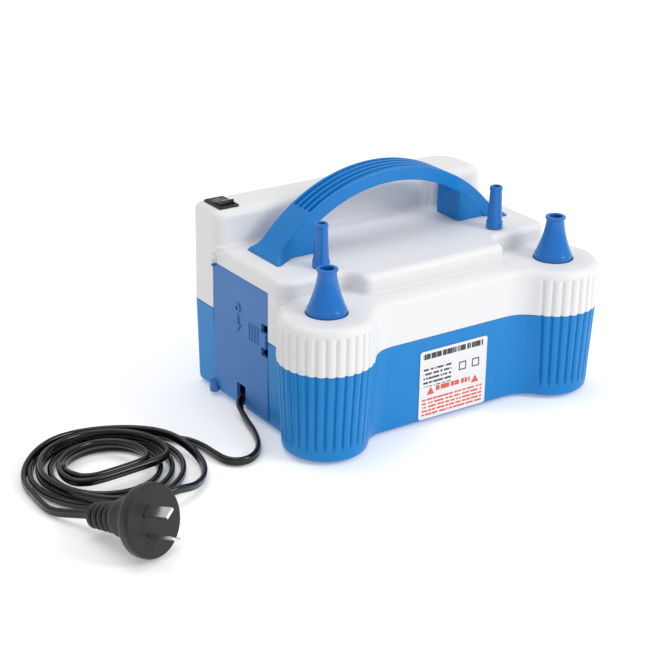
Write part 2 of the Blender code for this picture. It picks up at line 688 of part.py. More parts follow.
def handle_section(angle, grooves):
    """Cross-section of the band where its outer face stands at an angle round the arc."""
    direction = Vector((math.cos(angle), 0.0, math.sin(angle)))
    height = HANDLE_CENTRE_Z + HANDLE_RADIUS * math.sin(angle) - DECK_Z
    flare = max(0.0, 1.0 - max(height, 0.0) / FLARE_HEIGHT) ** 2.5
    half = HANDLE_WIDTH / 2 + FLARE_WIDTH * flare
    outer = HANDLE_RADIUS + FLARE_OUT * flare
    inner = HANDLE_RADIUS - HANDLE_THICKNESS
    edge = 1.2
    profile = [(-half + edge, inner), (-half, inner + edge), (-half, outer - edge), (-half + edge, outer)]
    pitch = (HANDLE_WIDTH - 2 * edge) / GROOVE_COUNT
    for i in range(GROOVE_COUNT):
        middle = pitch * (i - (GROOVE_COUNT - 1) / 2)
        for shift, depth in ((-0.5, 0.0), (-0.3, grooves), (0.3, grooves), (0.5, 0.0)):
            profile.append((middle + shift * GROOVE_WIDTH, outer - depth))
    profile += [(half - edge, outer), (half, outer - edge), (half, inner + edge), (half - edge, inner)]
    centre = Vector((0.0, HANDLE_Y, HANDLE_CENTRE_Z))
    return [centre + direction * radius + Vector((0.0, y, 0.0)) for y, radius in profile]


def leg_outline(side, near, far, radius):
    """Side view of part of a leg, from the deck up into the band."""
    steps = 4
    points = [(near, DECK_Z + GAP), (far, DECK_Z + GAP)]
    for k in range(steps + 1):
        x = far + (near - far) * k / steps
        points.append((x, HANDLE_CENTRE_Z + math.sqrt(radius ** 2 - x ** 2)))
    return [(side * x, z) for x, z in points]


def build_handle():
    start = math.asin((DECK_Z - 2.0 - HANDLE_CENTRE_Z) / HANDLE_RADIUS)
    arc = math.pi / 2 - start - math.radians(GROOVE_CLEAR)
    end = 0.006
    near_foot = [start + math.radians(d) for d in (0.0, 1.2, 2.4, 3.8, 5.4, 8.0, 13.0)]
    plain = [(a, 0.0) for a in near_foot] + [(math.pi / 2 - arc - end, 0.0)]
    grooved = [(math.pi / 2 - arc + 2 * arc * k / 12, GROOVE_DEPTH) for k in range(13)]
    stations = plain + grooved + [(math.pi - a, g) for a, g in reversed(plain)]
    band = finish("handle", loft([handle_section(a, g) for a, g in stations]), BLUE, 0.35)
    middle = HANDLE_RADIUS - HANDLE_THICKNESS / 2
    strip = HANDLE_WIDTH / 2 - 0.15
    for side in (-1, 1):
        for kind, near, far, half in (("strip", LEG_X, LEG_X + LEG_STRIP, strip),
                                      ("web", LEG_X + 1.0, LEG_X + WEB_REACH, WEB_WIDTH / 2)):
            outline = leg_outline(side, near, far, middle)
            leg = loft([[(x, y, z) for x, z in outline] for y in (HANDLE_Y - half, HANDLE_Y + half)])
            join(band, leg, f"handle_{kind}_{side}")
    past = HANDLE_SPAN + 48.0
    cut(band, box((-past, HANDLE_Y - 40.0, DECK_Z - 20.0), (past, HANDLE_Y + 40.0, DECK_Z + GAP)),
        "handle_foot_plane")
    holes = bmesh.new()
    for side in (-1, 1):
        add_turned(holes, [(SCREW_RADIUS + GAP, DECK_Z - OVERLAP), (SCREW_RADIUS + GAP, DECK_Z + 10.0)],
                   upright(side * HANDLE_SCREW_X, HANDLE_Y), 12)
    cut(band, holes, "handle_screw_holes")


# ---------------------------------------------------------------- storage door and compartment

def build_door():
    inner = DOOR_OUTER_X + DOOR_THICKNESS
    notch = CORD_NOTCH_WIDTH / 2
    latch = DOOR_FRONT_Y + LATCH_DEPTH
    corners = ((DOOR_REAR_Y, DOOR_BOTTOM), (DOOR_REAR_Y, DOOR_TOP), (DOOR_FRONT_Y, DOOR_TOP),
               (DOOR_FRONT_Y, LATCH_HIGH), (latch, LATCH_HIGH), (latch, LATCH_LOW),
               (DOOR_FRONT_Y, LATCH_LOW), (DOOR_FRONT_Y, DOOR_BOTTOM), (CORD_Y - notch, DOOR_BOTTOM),
               (CORD_Y - notch, CORD_NOTCH_TOP), (CORD_Y + notch, CORD_NOTCH_TOP),
               (CORD_Y + notch, DOOR_BOTTOM))
    rings = [[(x, y, z) for y, z in corners] for x in (DOOR_OUTER_X, inner)]
    origin = (HINGE_X, HINGE_Y, DOOR_BOTTOM)
    door = finish("storage_door", loft(rings), BLUE, 0.4, origin=origin)

    fittings = bmesh.new()
    middle = (LATCH_LOW + LATCH_HIGH) / 2
    add_box(fittings, (DOOR_OUTER_X - 0.6, DOOR_FRONT_Y + 1.0, middle - LATCH_TAB / 2),
            (inner - 0.4, latch + 1.0, middle + LATCH_TAB / 2))
    for i in range(GRIP_COUNT):
        y = latch + 2.5 + GRIP_PITCH * i
        add_box(fittings, (DOOR_OUTER_X - GRIP_PROUD, y - 0.6, middle - GRIP_LENGTH / 2),
                (DOOR_OUTER_X + 1.0, y + 0.6, middle + GRIP_LENGTH / 2))
    join(door, fittings, "door_latch_and_grip")
    stem = HINGE_X + 1.5
    join(door, box((stem - 2.0, HINGE_Y - 1.6, DOOR_BOTTOM - 1.5),
                   (inner - 0.2, HINGE_Y + 1.0, KNUCKLE_TOP - 0.4)), "door_bottom_arm")
    join(door, rod(HINGE_X, HINGE_Y, KNUCKLE_RADIUS, BODY_BOTTOM + 0.5, KNUCKLE_TOP, 20),
         "door_bottom_knuckle")
    join(door, box((HINGE_X - 1.0, HINGE_Y - 1.0, DOOR_TOP - 6.0),
                   (inner - 0.3, HINGE_Y + 1.0, DOOR_TOP - 0.2)), "door_top_arm")
    join(door, rod(HINGE_X, HINGE_Y, PIVOT_RADIUS, DOOR_TOP - 5.0, DOOR_TOP + GAP + 2.8, 14),
         "door_top_pivot")


def build_bin():
    low_y = DOOR_FRONT_Y + 1.0
    high_y = DOOR_REAR_Y - 2.0
    made = finish("cord_compartment", box((BIN_FRONT, low_y, BIN_BOTTOM), (BIN_BACK, high_y, BIN_TOP)),
                  BLUE, 0.45)
    cut(made, box((BIN_FRONT - OVERLAP, low_y + BIN_WALL, BIN_BOTTOM + BIN_WALL),
                  (BIN_BACK - BIN_WALL, high_y - BIN_WALL, BIN_TOP - BIN_WALL)), "bin_hollow")
    half = CORD_SLOT_WIDTH / 2
    cut(made, box((BIN_FRONT - OVERLAP, CORD_Y - half, BIN_BOTTOM - OVERLAP),
                  (BIN_FRONT + 11.4, CORD_Y + half, BIN_BOTTOM + 3.0)), "bin_cord_slot")
    place = along((BIN_BACK - 4.0, CORD_Y, CORD_EXIT_Z), (1.0, 0.0, 0.0))
    hole = turned([(RELIEF_RADIUS + 0.6, 0.0), (RELIEF_RADIUS + 0.6, 6.0)], place, 16)
    cut(made, hole, "bin_relief_hole")


def build_cord_entry():
    """Tapered relief through the compartment's wall, and the bar that clamps it behind the wall."""
    face = BIN_BACK - BIN_WALL - GAP
    through = BIN_WALL + 2 * GAP + 4.0
    flange = RELIEF_RADIUS + 1.8
    profile = [(RELIEF_RADIUS, 0.0), (RELIEF_RADIUS, through), (flange, through + 0.01),
               (flange, through + 3.0), (RELIEF_RADIUS + 1.1, through + 8.0),
               (RELIEF_RADIUS + 0.6, through + 16.0), (RELIEF_RADIUS + 0.2, through + RELIEF_LENGTH)]
    start = (face + through, CORD_Y, CORD_EXIT_Z)
    finish("cord_strain_relief", turned(profile, along(start, (-1.0, 0.0, 0.0)), 20), BLACK, 0.55)

    low = CLAMP_BAR_Z
    bar = finish("cord_clamp_bar", box((CLAMP_X, CORD_Y - CLAMP_REACH, low),
                                       (CLAMP_X + CLAMP_WIDTH, CORD_Y + CLAMP_REACH, low + 2.5)), WHITE, 0.5)
    holes = bmesh.new()
    middle = CLAMP_X + CLAMP_WIDTH / 2
    for shift in (-CLAMP_FIXING, CLAMP_FIXING):
        add_turned(holes, [(1.8, low - OVERLAP), (1.8, low + 2.5 + OVERLAP)],
                   upright(middle, CORD_Y + shift), 12)
    cut(bar, holes, "clamp_bar_holes")
    profile = [(1.3, SADDLE_TOP - 4.0), (1.3, low + 2.5 + GAP), (2.6, low + 2.51 + GAP), (2.6, low + 4.4)]
    finish("cord_clamp_screw", turned(profile, upright(middle, CORD_Y + CLAMP_FIXING), 12), STEEL, 0.35, 1.0)


# ---------------------------------------------------------------- nozzles, sleeves and valves

def build_nozzle(side_name, side):
    base = NOZZLE_BASE_RADIUS
    top = NOZZLE_TOP_RADIUS
    high = NOZZLE_HEIGHT
    bore = SPIGOT_RADIUS + GAP
    seat = SPIGOT_LENGTH + GAP + 1.0
    outer = [(base - 0.4, 0.0), (base, 0.5), (base, 3.6)]
    for k in range(1, 5):
        share = k / 5
        level = 3.6 + (high - 6.2) * share
        least = bore + NOZZLE_WALL if level < seat + 1.0 else 0.0
        cone = top - 0.35 + (base - top + 0.35) * (1.0 - share) ** 1.9
        outer.append((max(cone, least), level))
    outer += [(top - 0.3, high - 1.8), (top, high - 1.4), (top, high - 0.4), (top - 0.4, high)]
    inner = [(top - 1.5, high), (top - 1.7, high - 9.0), (top - 0.4, seat + 4.0), (bore, seat), (bore, 0.0)]
    place = upright(side * COLUMN_X, COLUMN_Y, NOZZLE_BASE_Z)
    finish("nozzle_" + side_name, turned(outer + inner, place, 24, True), BLUE, 0.3,
           origin=(side * COLUMN_X, COLUMN_Y, NOZZLE_BASE_Z))


def build_spare_nozzle(side_name, side):
    base = SPARE_BASE_RADIUS
    top = SPARE_TOP_RADIUS
    high = SPARE_HEIGHT
    outer = [(base - 0.3, 0.0), (base, 0.4), (base - 0.1, 4.0), (base - 0.5, 4.6),
             (top + 0.1, high - 2.0), (top + 0.25, high - 1.2), (top - 0.2, high)]
    bore = POST_RADIUS + GAP
    inner = [(top - 1.3, high), (top - 1.3, POST_HEIGHT + 2.0), (bore, POST_HEIGHT + 1.0), (bore, 0.0)]
    origin = (side * SPARE_X, SPARE_Y, DECK_Z + GAP)
    finish("spare_nozzle_" + side_name, turned(outer + inner, upright(*origin), 16, True), BLUE, 0.3,
           origin=origin)


def build_sleeve(side_name, side):
    """Sliding sleeve that carries a nozzle, with the flange that its spring pushes up."""
    low = FLANGE_BOTTOM - SLEEVE_LENGTH
    profile = [(SLEEVE_RADIUS - SLEEVE_WALL, low), (SLEEVE_RADIUS, low), (SLEEVE_RADIUS, FLANGE_BOTTOM),
               (FLANGE_RADIUS, FLANGE_BOTTOM), (FLANGE_RADIUS, FLANGE_TOP), (SPIGOT_RADIUS, FLANGE_TOP),
               (SPIGOT_RADIUS, FLANGE_TOP + SPIGOT_LENGTH),
               (SPIGOT_RADIUS - 1.6, FLANGE_TOP + SPIGOT_LENGTH),
               (SPIGOT_RADIUS - 1.6, FLANGE_BOTTOM - 2.0)]
    origin = (side * COLUMN_X, COLUMN_Y, FLANGE_BOTTOM)
    finish("nozzle_sleeve_" + side_name, turned(profile, upright(side * COLUMN_X, COLUMN_Y), 24, True),
           GREY, 0.4, origin=origin)


def build_spring(side_name, side):
    """Compression spring between a valve body and its sleeve's flange."""
    wire = SPRING_WIRE / 2
    radius = SLEEVE_RADIUS + GAP + wire + 0.5
    room = FLANGE_BOTTOM - VALVE_TOP - 2 * GAP
    steps = 14
    rings = []
    total = SPRING_TURNS * steps
    for i in range(total + 1):
        angle = 2 * math.pi * i / steps
        z = VALVE_TOP + GAP + wire + (room - SPRING_WIRE) * i / total
        outward = Vector((math.cos(angle), math.sin(angle), 0.0))
        middle = Vector((side * COLUMN_X, COLUMN_Y, z)) + outward * radius
        rings.append([middle + outward * wire * math.cos(a) + Vector((0.0, 0.0, wire * math.sin(a)))
                      for a in (2 * math.pi * k / 5 for k in range(5))])
    finish("sleeve_spring_" + side_name, loft(rings), STEEL, 0.3, 1.0)


def duct_line(side):
    """Start and end of the straight air duct on one side, and its direction."""
    start = Vector((MOTOR_X + side * (HOUSING_RADIUS + 8.0), HOUSING_FRONT + 4.0, DUCT_Z))
    end = Vector((side * COLUMN_X, COLUMN_Y, DUCT_Z))
    return start, end, (end - start).normalized()


def build_valve(side_name, side):
    """Fixed cup that the sleeve slides in, with its air inlet and the microswitch shelf."""
    x = side * COLUMN_X
    body = finish("valve_body_" + side_name, rod(x, COLUMN_Y, VALVE_RADIUS, VALVE_BOTTOM, VALVE_TOP, 24),
                  GREY, 0.45)
    start, end, direction = duct_line(side)
    inlet = end - direction * (VALVE_RADIUS + 7.0)
    reach = (end - direction * (VALVE_RADIUS - 2.5) - inlet).length
    join(body, turned([(DUCT_RADIUS, 0.0), (DUCT_RADIUS, reach)], along(inlet, direction), 18),
         "valve_inlet_" + side_name)
    near = x - side * (VALVE_RADIUS - 1.5)
    far = x - side * (LEVER_PIVOT_IN + 2.5)
    shelf_top = MICROSWITCH_Z - GAP
    shelf = box((min(near, far), COLUMN_Y - 3.6, shelf_top - SHELF_THICKNESS),
                (max(near, far), COLUMN_Y + 3.6, shelf_top))
    join(body, shelf, "valve_shelf_" + side_name)
    bores = bmesh.new()
    radius = SLEEVE_RADIUS + GAP
    profile = [(radius, VALVE_BOTTOM + 2.5), (radius, VALVE_TOP + OVERLAP)]
    add_turned(bores, profile, upright(x, COLUMN_Y), 24)
    cut(body, bores, "valve_bore_" + side_name)
    cut(body, turned([(DUCT_BORE, -OVERLAP), (DUCT_BORE, reach + 2.0)], along(inlet, direction), 18),
        "valve_port_" + side_name)


def build_duct(side_name, side):
    start, end, direction = duct_line(side)
    low = start + direction * (7.0 + GAP)
    length = (end - direction * (VALVE_RADIUS + 7.0 + GAP) - low).length
    finish("air_duct_" + side_name, turned(tube_profile(DUCT_RADIUS, DUCT_BORE, 0.0, length),
                                           along(low, direction), 18, True), GREY, 0.5)


def build_microswitch(side_name, side):
    x = side * COLUMN_X
    pivot = x - side * LEVER_PIVOT_IN
    near = pivot - side * 2.5
    far = pivot + side * 10.5
    top = FLANGE_BOTTOM - GAP - LEVER_THICKNESS - PRESS_TRAVEL
    body = bmesh.new()
    add_box(body, (min(near, far), COLUMN_Y - 3.2, MICROSWITCH_Z), (max(near, far), COLUMN_Y + 3.2, top))
    made = finish("microswitch_" + side_name, body, BLACK, 0.45)
    post = pivot - side * 0.9
    join(made, box((min(near, post), COLUMN_Y - 2.0, top - 1.0),
                   (max(near, post), COLUMN_Y + 2.0, top + 4.0)), "microswitch_post_" + side_name)
    height = FLANGE_BOTTOM - GAP
    start = pivot - side * 0.5
    tip = pivot + side * (LEVER_LENGTH - 0.7)
    finish("microswitch_lever_" + side_name,
           box((min(start, tip), COLUMN_Y - LEVER_WIDTH / 2, height - LEVER_THICKNESS),
               (max(start, tip), COLUMN_Y + LEVER_WIDTH / 2, height)),
           STEEL, 0.3, 1.0, origin=(pivot, COLUMN_Y, height - LEVER_THICKNESS / 2))


# ---------------------------------------------------------------- rocker switch

def build_switch():
    top = TOWER_TOP + GAP
    frame = bmesh.new()
    bezel = ((-SWITCH_WIDTH / 2, -SWITCH_LENGTH / 2), (SWITCH_WIDTH / 2, -SWITCH_LENGTH / 2),
             (SWITCH_WIDTH / 2, SWITCH_LENGTH / 2), (-SWITCH_WIDTH / 2, SWITCH_LENGTH / 2))
    rings = []
    for inset, z in ((0.0, top), (0.0, top + 0.6), (0.8, top + BEZEL_THICKNESS)):
        corners = [(SWITCH_X + x, SWITCH_Y + y, 0.8, 2) for x, y in bezel]
        rings.append(at_height(round_corners(corners, inset), z))
    add_rings(frame, rings)
    made = finish("rocker_switch_frame", frame, BLACK, 0.4)
    body_low = (SWITCH_X - SWITCH_BODY_WIDTH / 2, SWITCH_Y - SWITCH_BODY_LENGTH / 2, top - SWITCH_DEPTH)
    body_high = (SWITCH_X + SWITCH_BODY_WIDTH / 2, SWITCH_Y + SWITCH_BODY_LENGTH / 2, top + 0.3)
    join(made, box(body_low, body_high), "switch_body")
    width = ROCKER_WIDTH / 2 + GAP
    length = ROCKER_LENGTH / 2 + GAP + 0.5
    cut(made, box((SWITCH_X - width, SWITCH_Y - length, top - 7.5),
                  (SWITCH_X + width, SWITCH_Y + length, top + 4.0)), "switch_well")

    axis_z = top - 1.0
    outline = [(-ROCKER_LENGTH / 2, 1.6), (-ROCKER_LENGTH / 2 + 1.0, -2.4), (0.0, -4.4),
               (ROCKER_LENGTH / 2 - 1.0, -2.4), (ROCKER_LENGTH / 2, 1.6), (ROCKER_LENGTH / 2 - 0.5, 3.6),
               (ROCKER_LENGTH / 4, 2.9), (0.0, 2.6), (-ROCKER_LENGTH / 4, 2.9),
               (-ROCKER_LENGTH / 2 + 0.5, 3.6)]
    cosine = math.cos(math.radians(ROCKER_TILT))
    sine = -math.sin(math.radians(ROCKER_TILT))
    rings = [[(SWITCH_X + x, SWITCH_Y + y * cosine - z * sine, axis_z + y * sine + z * cosine)
              for y, z in outline] for x in (-ROCKER_WIDTH / 2, ROCKER_WIDTH / 2)]
    finish("switch_rocker", loft(rings), BLACK, 0.3, origin=(SWITCH_X, SWITCH_Y, axis_z))


# ---------------------------------------------------------------- motor and fan

def build_motor_housing():
    inner = HOUSING_RADIUS - CASE_WALL
    profile = [(HOUSING_RADIUS, HOUSING_FRONT), (HOUSING_RADIUS, HOUSING_BACK), (inner, HOUSING_BACK),
               (inner, HOUSING_FRONT + CASE_WALL), (BEARING_RADIUS + 3.0, HOUSING_FRONT + CASE_WALL),
               (BEARING_RADIUS + 3.0, HOUSING_FRONT + 7.5), (BEARING_RADIUS + GAP, HOUSING_FRONT + 7.5),
               (BEARING_RADIUS + GAP, HOUSING_FRONT + CASE_WALL),
               (SHAFT_RADIUS + 1.0, HOUSING_FRONT + CASE_WALL), (SHAFT_RADIUS + 1.0, HOUSING_FRONT)]
    made = finish("motor_housing", turned(profile, motor_axis(), 32, True), GREY, 0.5)
    spigots = bmesh.new()
    ports = bmesh.new()
    for side in (-1, 1):
        start, end, direction = duct_line(side)
        root = start - direction * 17.0
        add_turned(spigots, [(DUCT_RADIUS, 0.0), (DUCT_RADIUS, 24.0)], along(root, direction), 18)
        add_turned(ports, [(DUCT_BORE, -4.0), (DUCT_BORE, 24.0 + OVERLAP)], along(root, direction), 18)
    join(made, spigots, "housing_spigots")
    bowl = turned([(inner - 0.01, HOUSING_FRONT + CASE_WALL + 6.0), (inner - 0.01, HOUSING_BACK + OVERLAP)],
                  motor_axis(), 32)
    cut(made, bowl, "housing_bowl")
    cut(made, ports, "housing_ports")


def build_fan_casing():
    """Diffuser plate against the motor, and the rear cover with the intake eye."""
    front = HOUSING_BACK + GAP
    split = front + 8.0
    inner = FAN_CASE_RADIUS - CASE_WALL
    plate = [(FAN_CASE_RADIUS, front), (FAN_CASE_RADIUS, split), (inner, split), (inner, front + 2.5),
             (BEARING_RADIUS + GAP, front + 2.5), (BEARING_RADIUS + GAP, front)]
    diffuser = finish("fan_diffuser", turned(plate, motor_axis(), 32, True), GREY, 0.5)
    holes = bmesh.new()
    for k in range(6):
        angle = 2 * math.pi * k / 6
        x = MOTOR_X + 22.0 * math.cos(angle)
        z = MOTOR_Z + 22.0 * math.sin(angle)
        add_turned(holes, [(4.0, -OVERLAP), (4.0, 6.0)], along((x, front, z), (0.0, 1.0, 0.0)), 10)
    cut(diffuser, holes, "diffuser_ports")
    cover = [(FAN_CASE_RADIUS, split + GAP), (FAN_CASE_RADIUS, FAN_CASE_BACK), (13.0, FAN_CASE_BACK),
             (13.0, FAN_CASE_BACK - CASE_WALL), (inner, FAN_CASE_BACK - CASE_WALL), (inner, split + GAP)]
    finish("fan_cover", turned(cover, motor_axis(), 32, True), GREY, 0.5)


def build_impeller():
    back = FAN_CASE_BACK - CASE_WALL - 1.5
    front = back - IMPELLER_WIDTH
    bore = SHAFT_RADIUS + GAP
    plate = turned(tube_profile(IMPELLER_RADIUS, bore, front, front + 1.4), motor_axis(), 32, True)
    disc = finish("impeller", plate, STEEL, 0.35, 0.9, origin=(MOTOR_X, front, MOTOR_Z))
    blades = bmesh.new()
    for k in range(BLADE_COUNT):
        inner = []
        outer = []
        for step in range(4):
            share = step / 3
            radius = 12.0 + (IMPELLER_RADIUS - 1.5 - 12.0) * share
            angle = 2 * math.pi * k / BLADE_COUNT - 0.9 * share
            thick = 0.5 / radius
            inner.append((radius * math.cos(angle - thick), radius * math.sin(angle - thick)))
            outer.append((radius * math.cos(angle + thick), radius * math.sin(angle + thick)))
        outline = inner + list(reversed(outer))
        place = motor_axis()
        rings = [[place @ Vector((x, y, z)) for x, y in outline] for z in (front + 1.0, back)]
        add_rings(blades, rings)
    join(disc, blades, "impeller_blades")
    hub = turned(tube_profile(7.0, bore, front - 2.0, back - 1.0), motor_axis(), 20, True)
    join(disc, hub, "impeller_hub")


def slotted_circle(radius, slot, height):
    """Circle notched by the armature's slots, with the same points round it at every slot depth."""
    points = []
    for k in range(ARMATURE_SLOTS):
        middle = 2 * math.pi * (k + 0.5) / ARMATURE_SLOTS
        for shift, depth in ((-0.075, 0.0), (-0.055, slot), (0.055, slot), (0.075, 0.0),
                             (math.pi / ARMATURE_SLOTS, 0.0)):
            points.append(Vector(((radius - depth) * math.cos(middle + shift),
                                  (radius - depth) * math.sin(middle + shift), height)))
    return points


def build_rotor():
    origin = (MOTOR_X, STATOR_FRONT, MOTOR_Z)
    shaft = turned([(SHAFT_RADIUS, HOUSING_FRONT + 0.5), (SHAFT_RADIUS, FAN_CASE_BACK - 4.0)],
                   motor_axis(), 16)
    finish("motor_shaft", shaft, STEEL, 0.25, 1.0, origin=origin)
    bore = SHAFT_RADIUS + GAP
    wide = ARMATURE_RADIUS - 2.8
    front = STATOR_FRONT - 3.6
    back = STATOR_BACK + 3.2
    place = motor_axis()
    rings = []
    for radius, slot, y in ((bore, 0.0, front), (wide - 1.7, 0.0, front), (wide, 0.0, front + 1.6),
                            (wide, 0.0, STATOR_FRONT), (ARMATURE_RADIUS, SLOT_DEPTH, STATOR_FRONT),
                            (ARMATURE_RADIUS, SLOT_DEPTH, STATOR_BACK), (wide, 0.0, STATOR_BACK),
                            (wide, 0.0, back - 1.6), (wide - 1.7, 0.0, back), (bore, 0.0, back)):
        rings.append([place @ point for point in slotted_circle(radius, slot, y)])
    core = bmesh.new()
    add_rings(core, rings, True)
    finish("armature", core, STEEL, 0.5, 0.8, origin=origin)
    low = STATOR_FRONT - 4.0 - COMMUTATOR_LENGTH
    profile = tube_profile(COMMUTATOR_RADIUS, bore, low, low + COMMUTATOR_LENGTH)
    bars = turned(profile, motor_axis(), 24, True)
    finish("commutator", bars, COPPER, 0.3, 1.0, origin=origin)
    return low


def build_bearings():
    front = HOUSING_FRONT + CASE_WALL + GAP
    back = HOUSING_BACK + GAP * 2 - 2.4
    for name, low in (("front_bearing", front), ("rear_bearing", back)):
        profile = tube_profile(BEARING_RADIUS, SHAFT_RADIUS + GAP, low, low + BEARING_WIDTH)
        finish(name, turned(profile, motor_axis(), 24, True), STEEL, 0.25, 1.0)


def build_stator():
    profile = tube_profile(STATOR_RADIUS, STATOR_BORE, STATOR_FRONT, STATOR_BACK)
    core = turned(profile, motor_axis(), 28, True)
    made = finish("field_core", core, (0.3, 0.3, 0.31), 0.5, 0.7)
    pockets = bmesh.new()
    for side in (-1, 1):
        low = MOTOR_X + side * (STATOR_BORE + 0.5)
        high = MOTOR_X + side * (STATOR_RADIUS - 3.0)
        add_box(pockets, (min(low, high), STATOR_FRONT - OVERLAP, MOTOR_Z - 9.0),
                (max(low, high), STATOR_BACK + OVERLAP, MOTOR_Z + 9.0))
    cut(made, pockets, "field_pockets")
    coils = bmesh.new()
    for side in (-1, 1):
        low = MOTOR_X + side * (STATOR_BORE + 0.5 + GAP)
        high = MOTOR_X + side * (STATOR_RADIUS - 3.0 - GAP)
        add_box(coils, (min(low, high), STATOR_FRONT - 4.0, MOTOR_Z - 8.5),
                (max(low, high), STATOR_BACK + 3.0, MOTOR_Z + 8.5))
    made = finish("field_coils", coils, COPPER, 0.4, 0.8)
    wide = STATOR_RADIUS - 3.0 - GAP
    low = MOTOR_Z + ARMATURE_RADIUS - 1.6
    bridge = box((MOTOR_X - wide, STATOR_FRONT - 3.6, low), (MOTOR_X + wide, STATOR_FRONT - 1.2, low + 2.4))
    join(made, bridge, "coil_bridge")
    for side in (-1, 1):
        near = MOTOR_X + side * wide
        far = MOTOR_X + side * (wide - 3.0)
        join(made, box((min(near, far), STATOR_FRONT - 3.8, MOTOR_Z + 4.0),
                       (max(near, far), STATOR_FRONT - 1.0, low + 2.2)), f"coil_lead_{side}")


def build_brushes(commutator_low):
    """Yoke with a brush holder above and below the commutator, and a carbon brush in each."""
    middle = commutator_low + COMMUTATOR_LENGTH / 2
    half = BRUSH_SIZE / 2
    sleeve = half + GAP + 1.0
    rim = HOUSING_RADIUS - CASE_WALL
    ring = tube_profile(rim - 2.0, rim - 8.0, middle - 1.0, middle + 1.0)
    yoke = finish("brush_yoke", turned(ring, motor_axis(), 28, True), BRASS, 0.35, 1.0)
    holes = bmesh.new()
    for name, side in (("upper", 1), ("lower", -1)):
        near = MOTOR_Z + side * (COMMUTATOR_RADIUS + 1.5)
        far = MOTOR_Z + side * (HOUSING_RADIUS - CASE_WALL - 2.5)
        join(yoke, box((MOTOR_X - sleeve, middle - sleeve, min(near, far)),
                       (MOTOR_X + sleeve, middle + sleeve, max(near, far))), name + "_brush_holder")
        past = far + side * OVERLAP
        before = near - side * OVERLAP
        add_box(holes, (MOTOR_X - half - GAP, middle - half - GAP, min(before, past)),
                (MOTOR_X + half + GAP, middle + half + GAP, max(before, past)))
        tip = MOTOR_Z + side * (COMMUTATOR_RADIUS + GAP)
        end = MOTOR_Z + side * (COMMUTATOR_RADIUS + 12.0)
        finish("carbon_brush_" + name, box((MOTOR_X - half, middle - half, min(tip, end)),
                                           (MOTOR_X + half, middle + half, max(tip, end))), BLACK, 0.7)
    cut(yoke, holes, "brush_ways")


def build_cradle():
    """Rubber cradle under the motor housing."""
    front = HOUSING_FRONT + 11.0
    back = HOUSING_BACK - 9.0
    cradle = finish("motor_cradle", box((MOTOR_X - 20.0, front, BODY_BOTTOM + WALL + GAP),
                                        (MOTOR_X + 20.0, back, MOTOR_Z - 18.0)), BLACK, 0.85)
    radius = HOUSING_RADIUS + GAP
    cut(cradle, turned([(radius, front - 5.0), (radius, back + 5.0)], motor_axis(), 40), "cradle_bed")


def build_wiring():
    """Lead from the rocker switch across the tower and down to the motor housing."""
    over = MOTOR_Z + HOUSING_RADIUS
    points = ((SWITCH_X, SWITCH_Y, TOWER_TOP - SWITCH_DEPTH - 0.5), (SWITCH_X, SWITCH_Y, DECK_Z - 1.5),
              (SWITCH_X + 13.2, SWITCH_Y - 1.6, DECK_Z - 5.5),
              (SWITCH_X + 37.2, SWITCH_Y - 3.6, DECK_Z - 7.5),
              (MOTOR_X - 43.0, HOUSING_BACK + 14.0, BIN_TOP + 2.4),
              (MOTOR_X - 18.0, HOUSING_BACK - 13.0, over + 2.0),
              (MOTOR_X - 12.0, HOUSING_BACK - 25.0, over + 1.0))
    make_tube("switch_lead", smooth_route(points, 12.0), 1.4, (0.25, 0.03, 0.02), 0.5)


# ---------------------------------------------------------------- cord

def smooth_route(points, spacing):
    """Evenly spaced points on a smooth curve through the given ones."""
    held = [Vector(p) for p in points]
    held = [held[0] * 2 - held[1]] + held + [held[-1] * 2 - held[-2]]
    fine = []
    for i in range(1, len(held) - 2):
        a, b, c, d = held[i - 1:i + 3]
        for k in range(20):
            t = k / 20
            fine.append(0.5 * (2 * b + (c - a) * t + (2 * a - 5 * b + 4 * c - d) * t ** 2
                               + (3 * b - a - 3 * c + d) * t ** 3))
    fine.append(held[-2])
    length = sum((fine[i + 1] - fine[i]).length for i in range(len(fine) - 1))
    count = max(2, round(length / spacing))
    out = [fine[0]]
    walked = 0.0
    for i in range(len(fine) - 1):
        step = (fine[i + 1] - fine[i]).length
        while len(out) < count and walked + step >= length * len(out) / count:
            share = (length * len(out) / count - walked) / step
            out.append(fine[i].lerp(fine[i + 1], share))
        walked += step
    out.append(fine[-1])
    return out


def make_tube(name, points, radius, colour, roughness, resolution=2):
    curve = bpy.data.curves.new(name, "CURVE")
    curve.dimensions = "3D"
    curve.bevel_depth = radius * MM
    curve.bevel_resolution = resolution
    curve.use_fill_caps = True
    line = curve.splines.new("POLY")
    line.points.add(len(points) - 1)
    for held, point in zip(line.points, points):
        held.co = (*(Vector(point) * MM), 1.0)
    curve.materials.append(material(name, colour, roughness))
    made = bpy.data.objects.new(name, curve)
    bpy.context.collection.objects.link(made)
    return made


def plug_direction():
    heading = math.radians(PLUG_HEADING)
    tilt = math.radians(PLUG_TILT)
    return Vector((math.cos(heading) * math.cos(tilt), math.sin(heading) * math.cos(tilt), math.sin(tilt)))


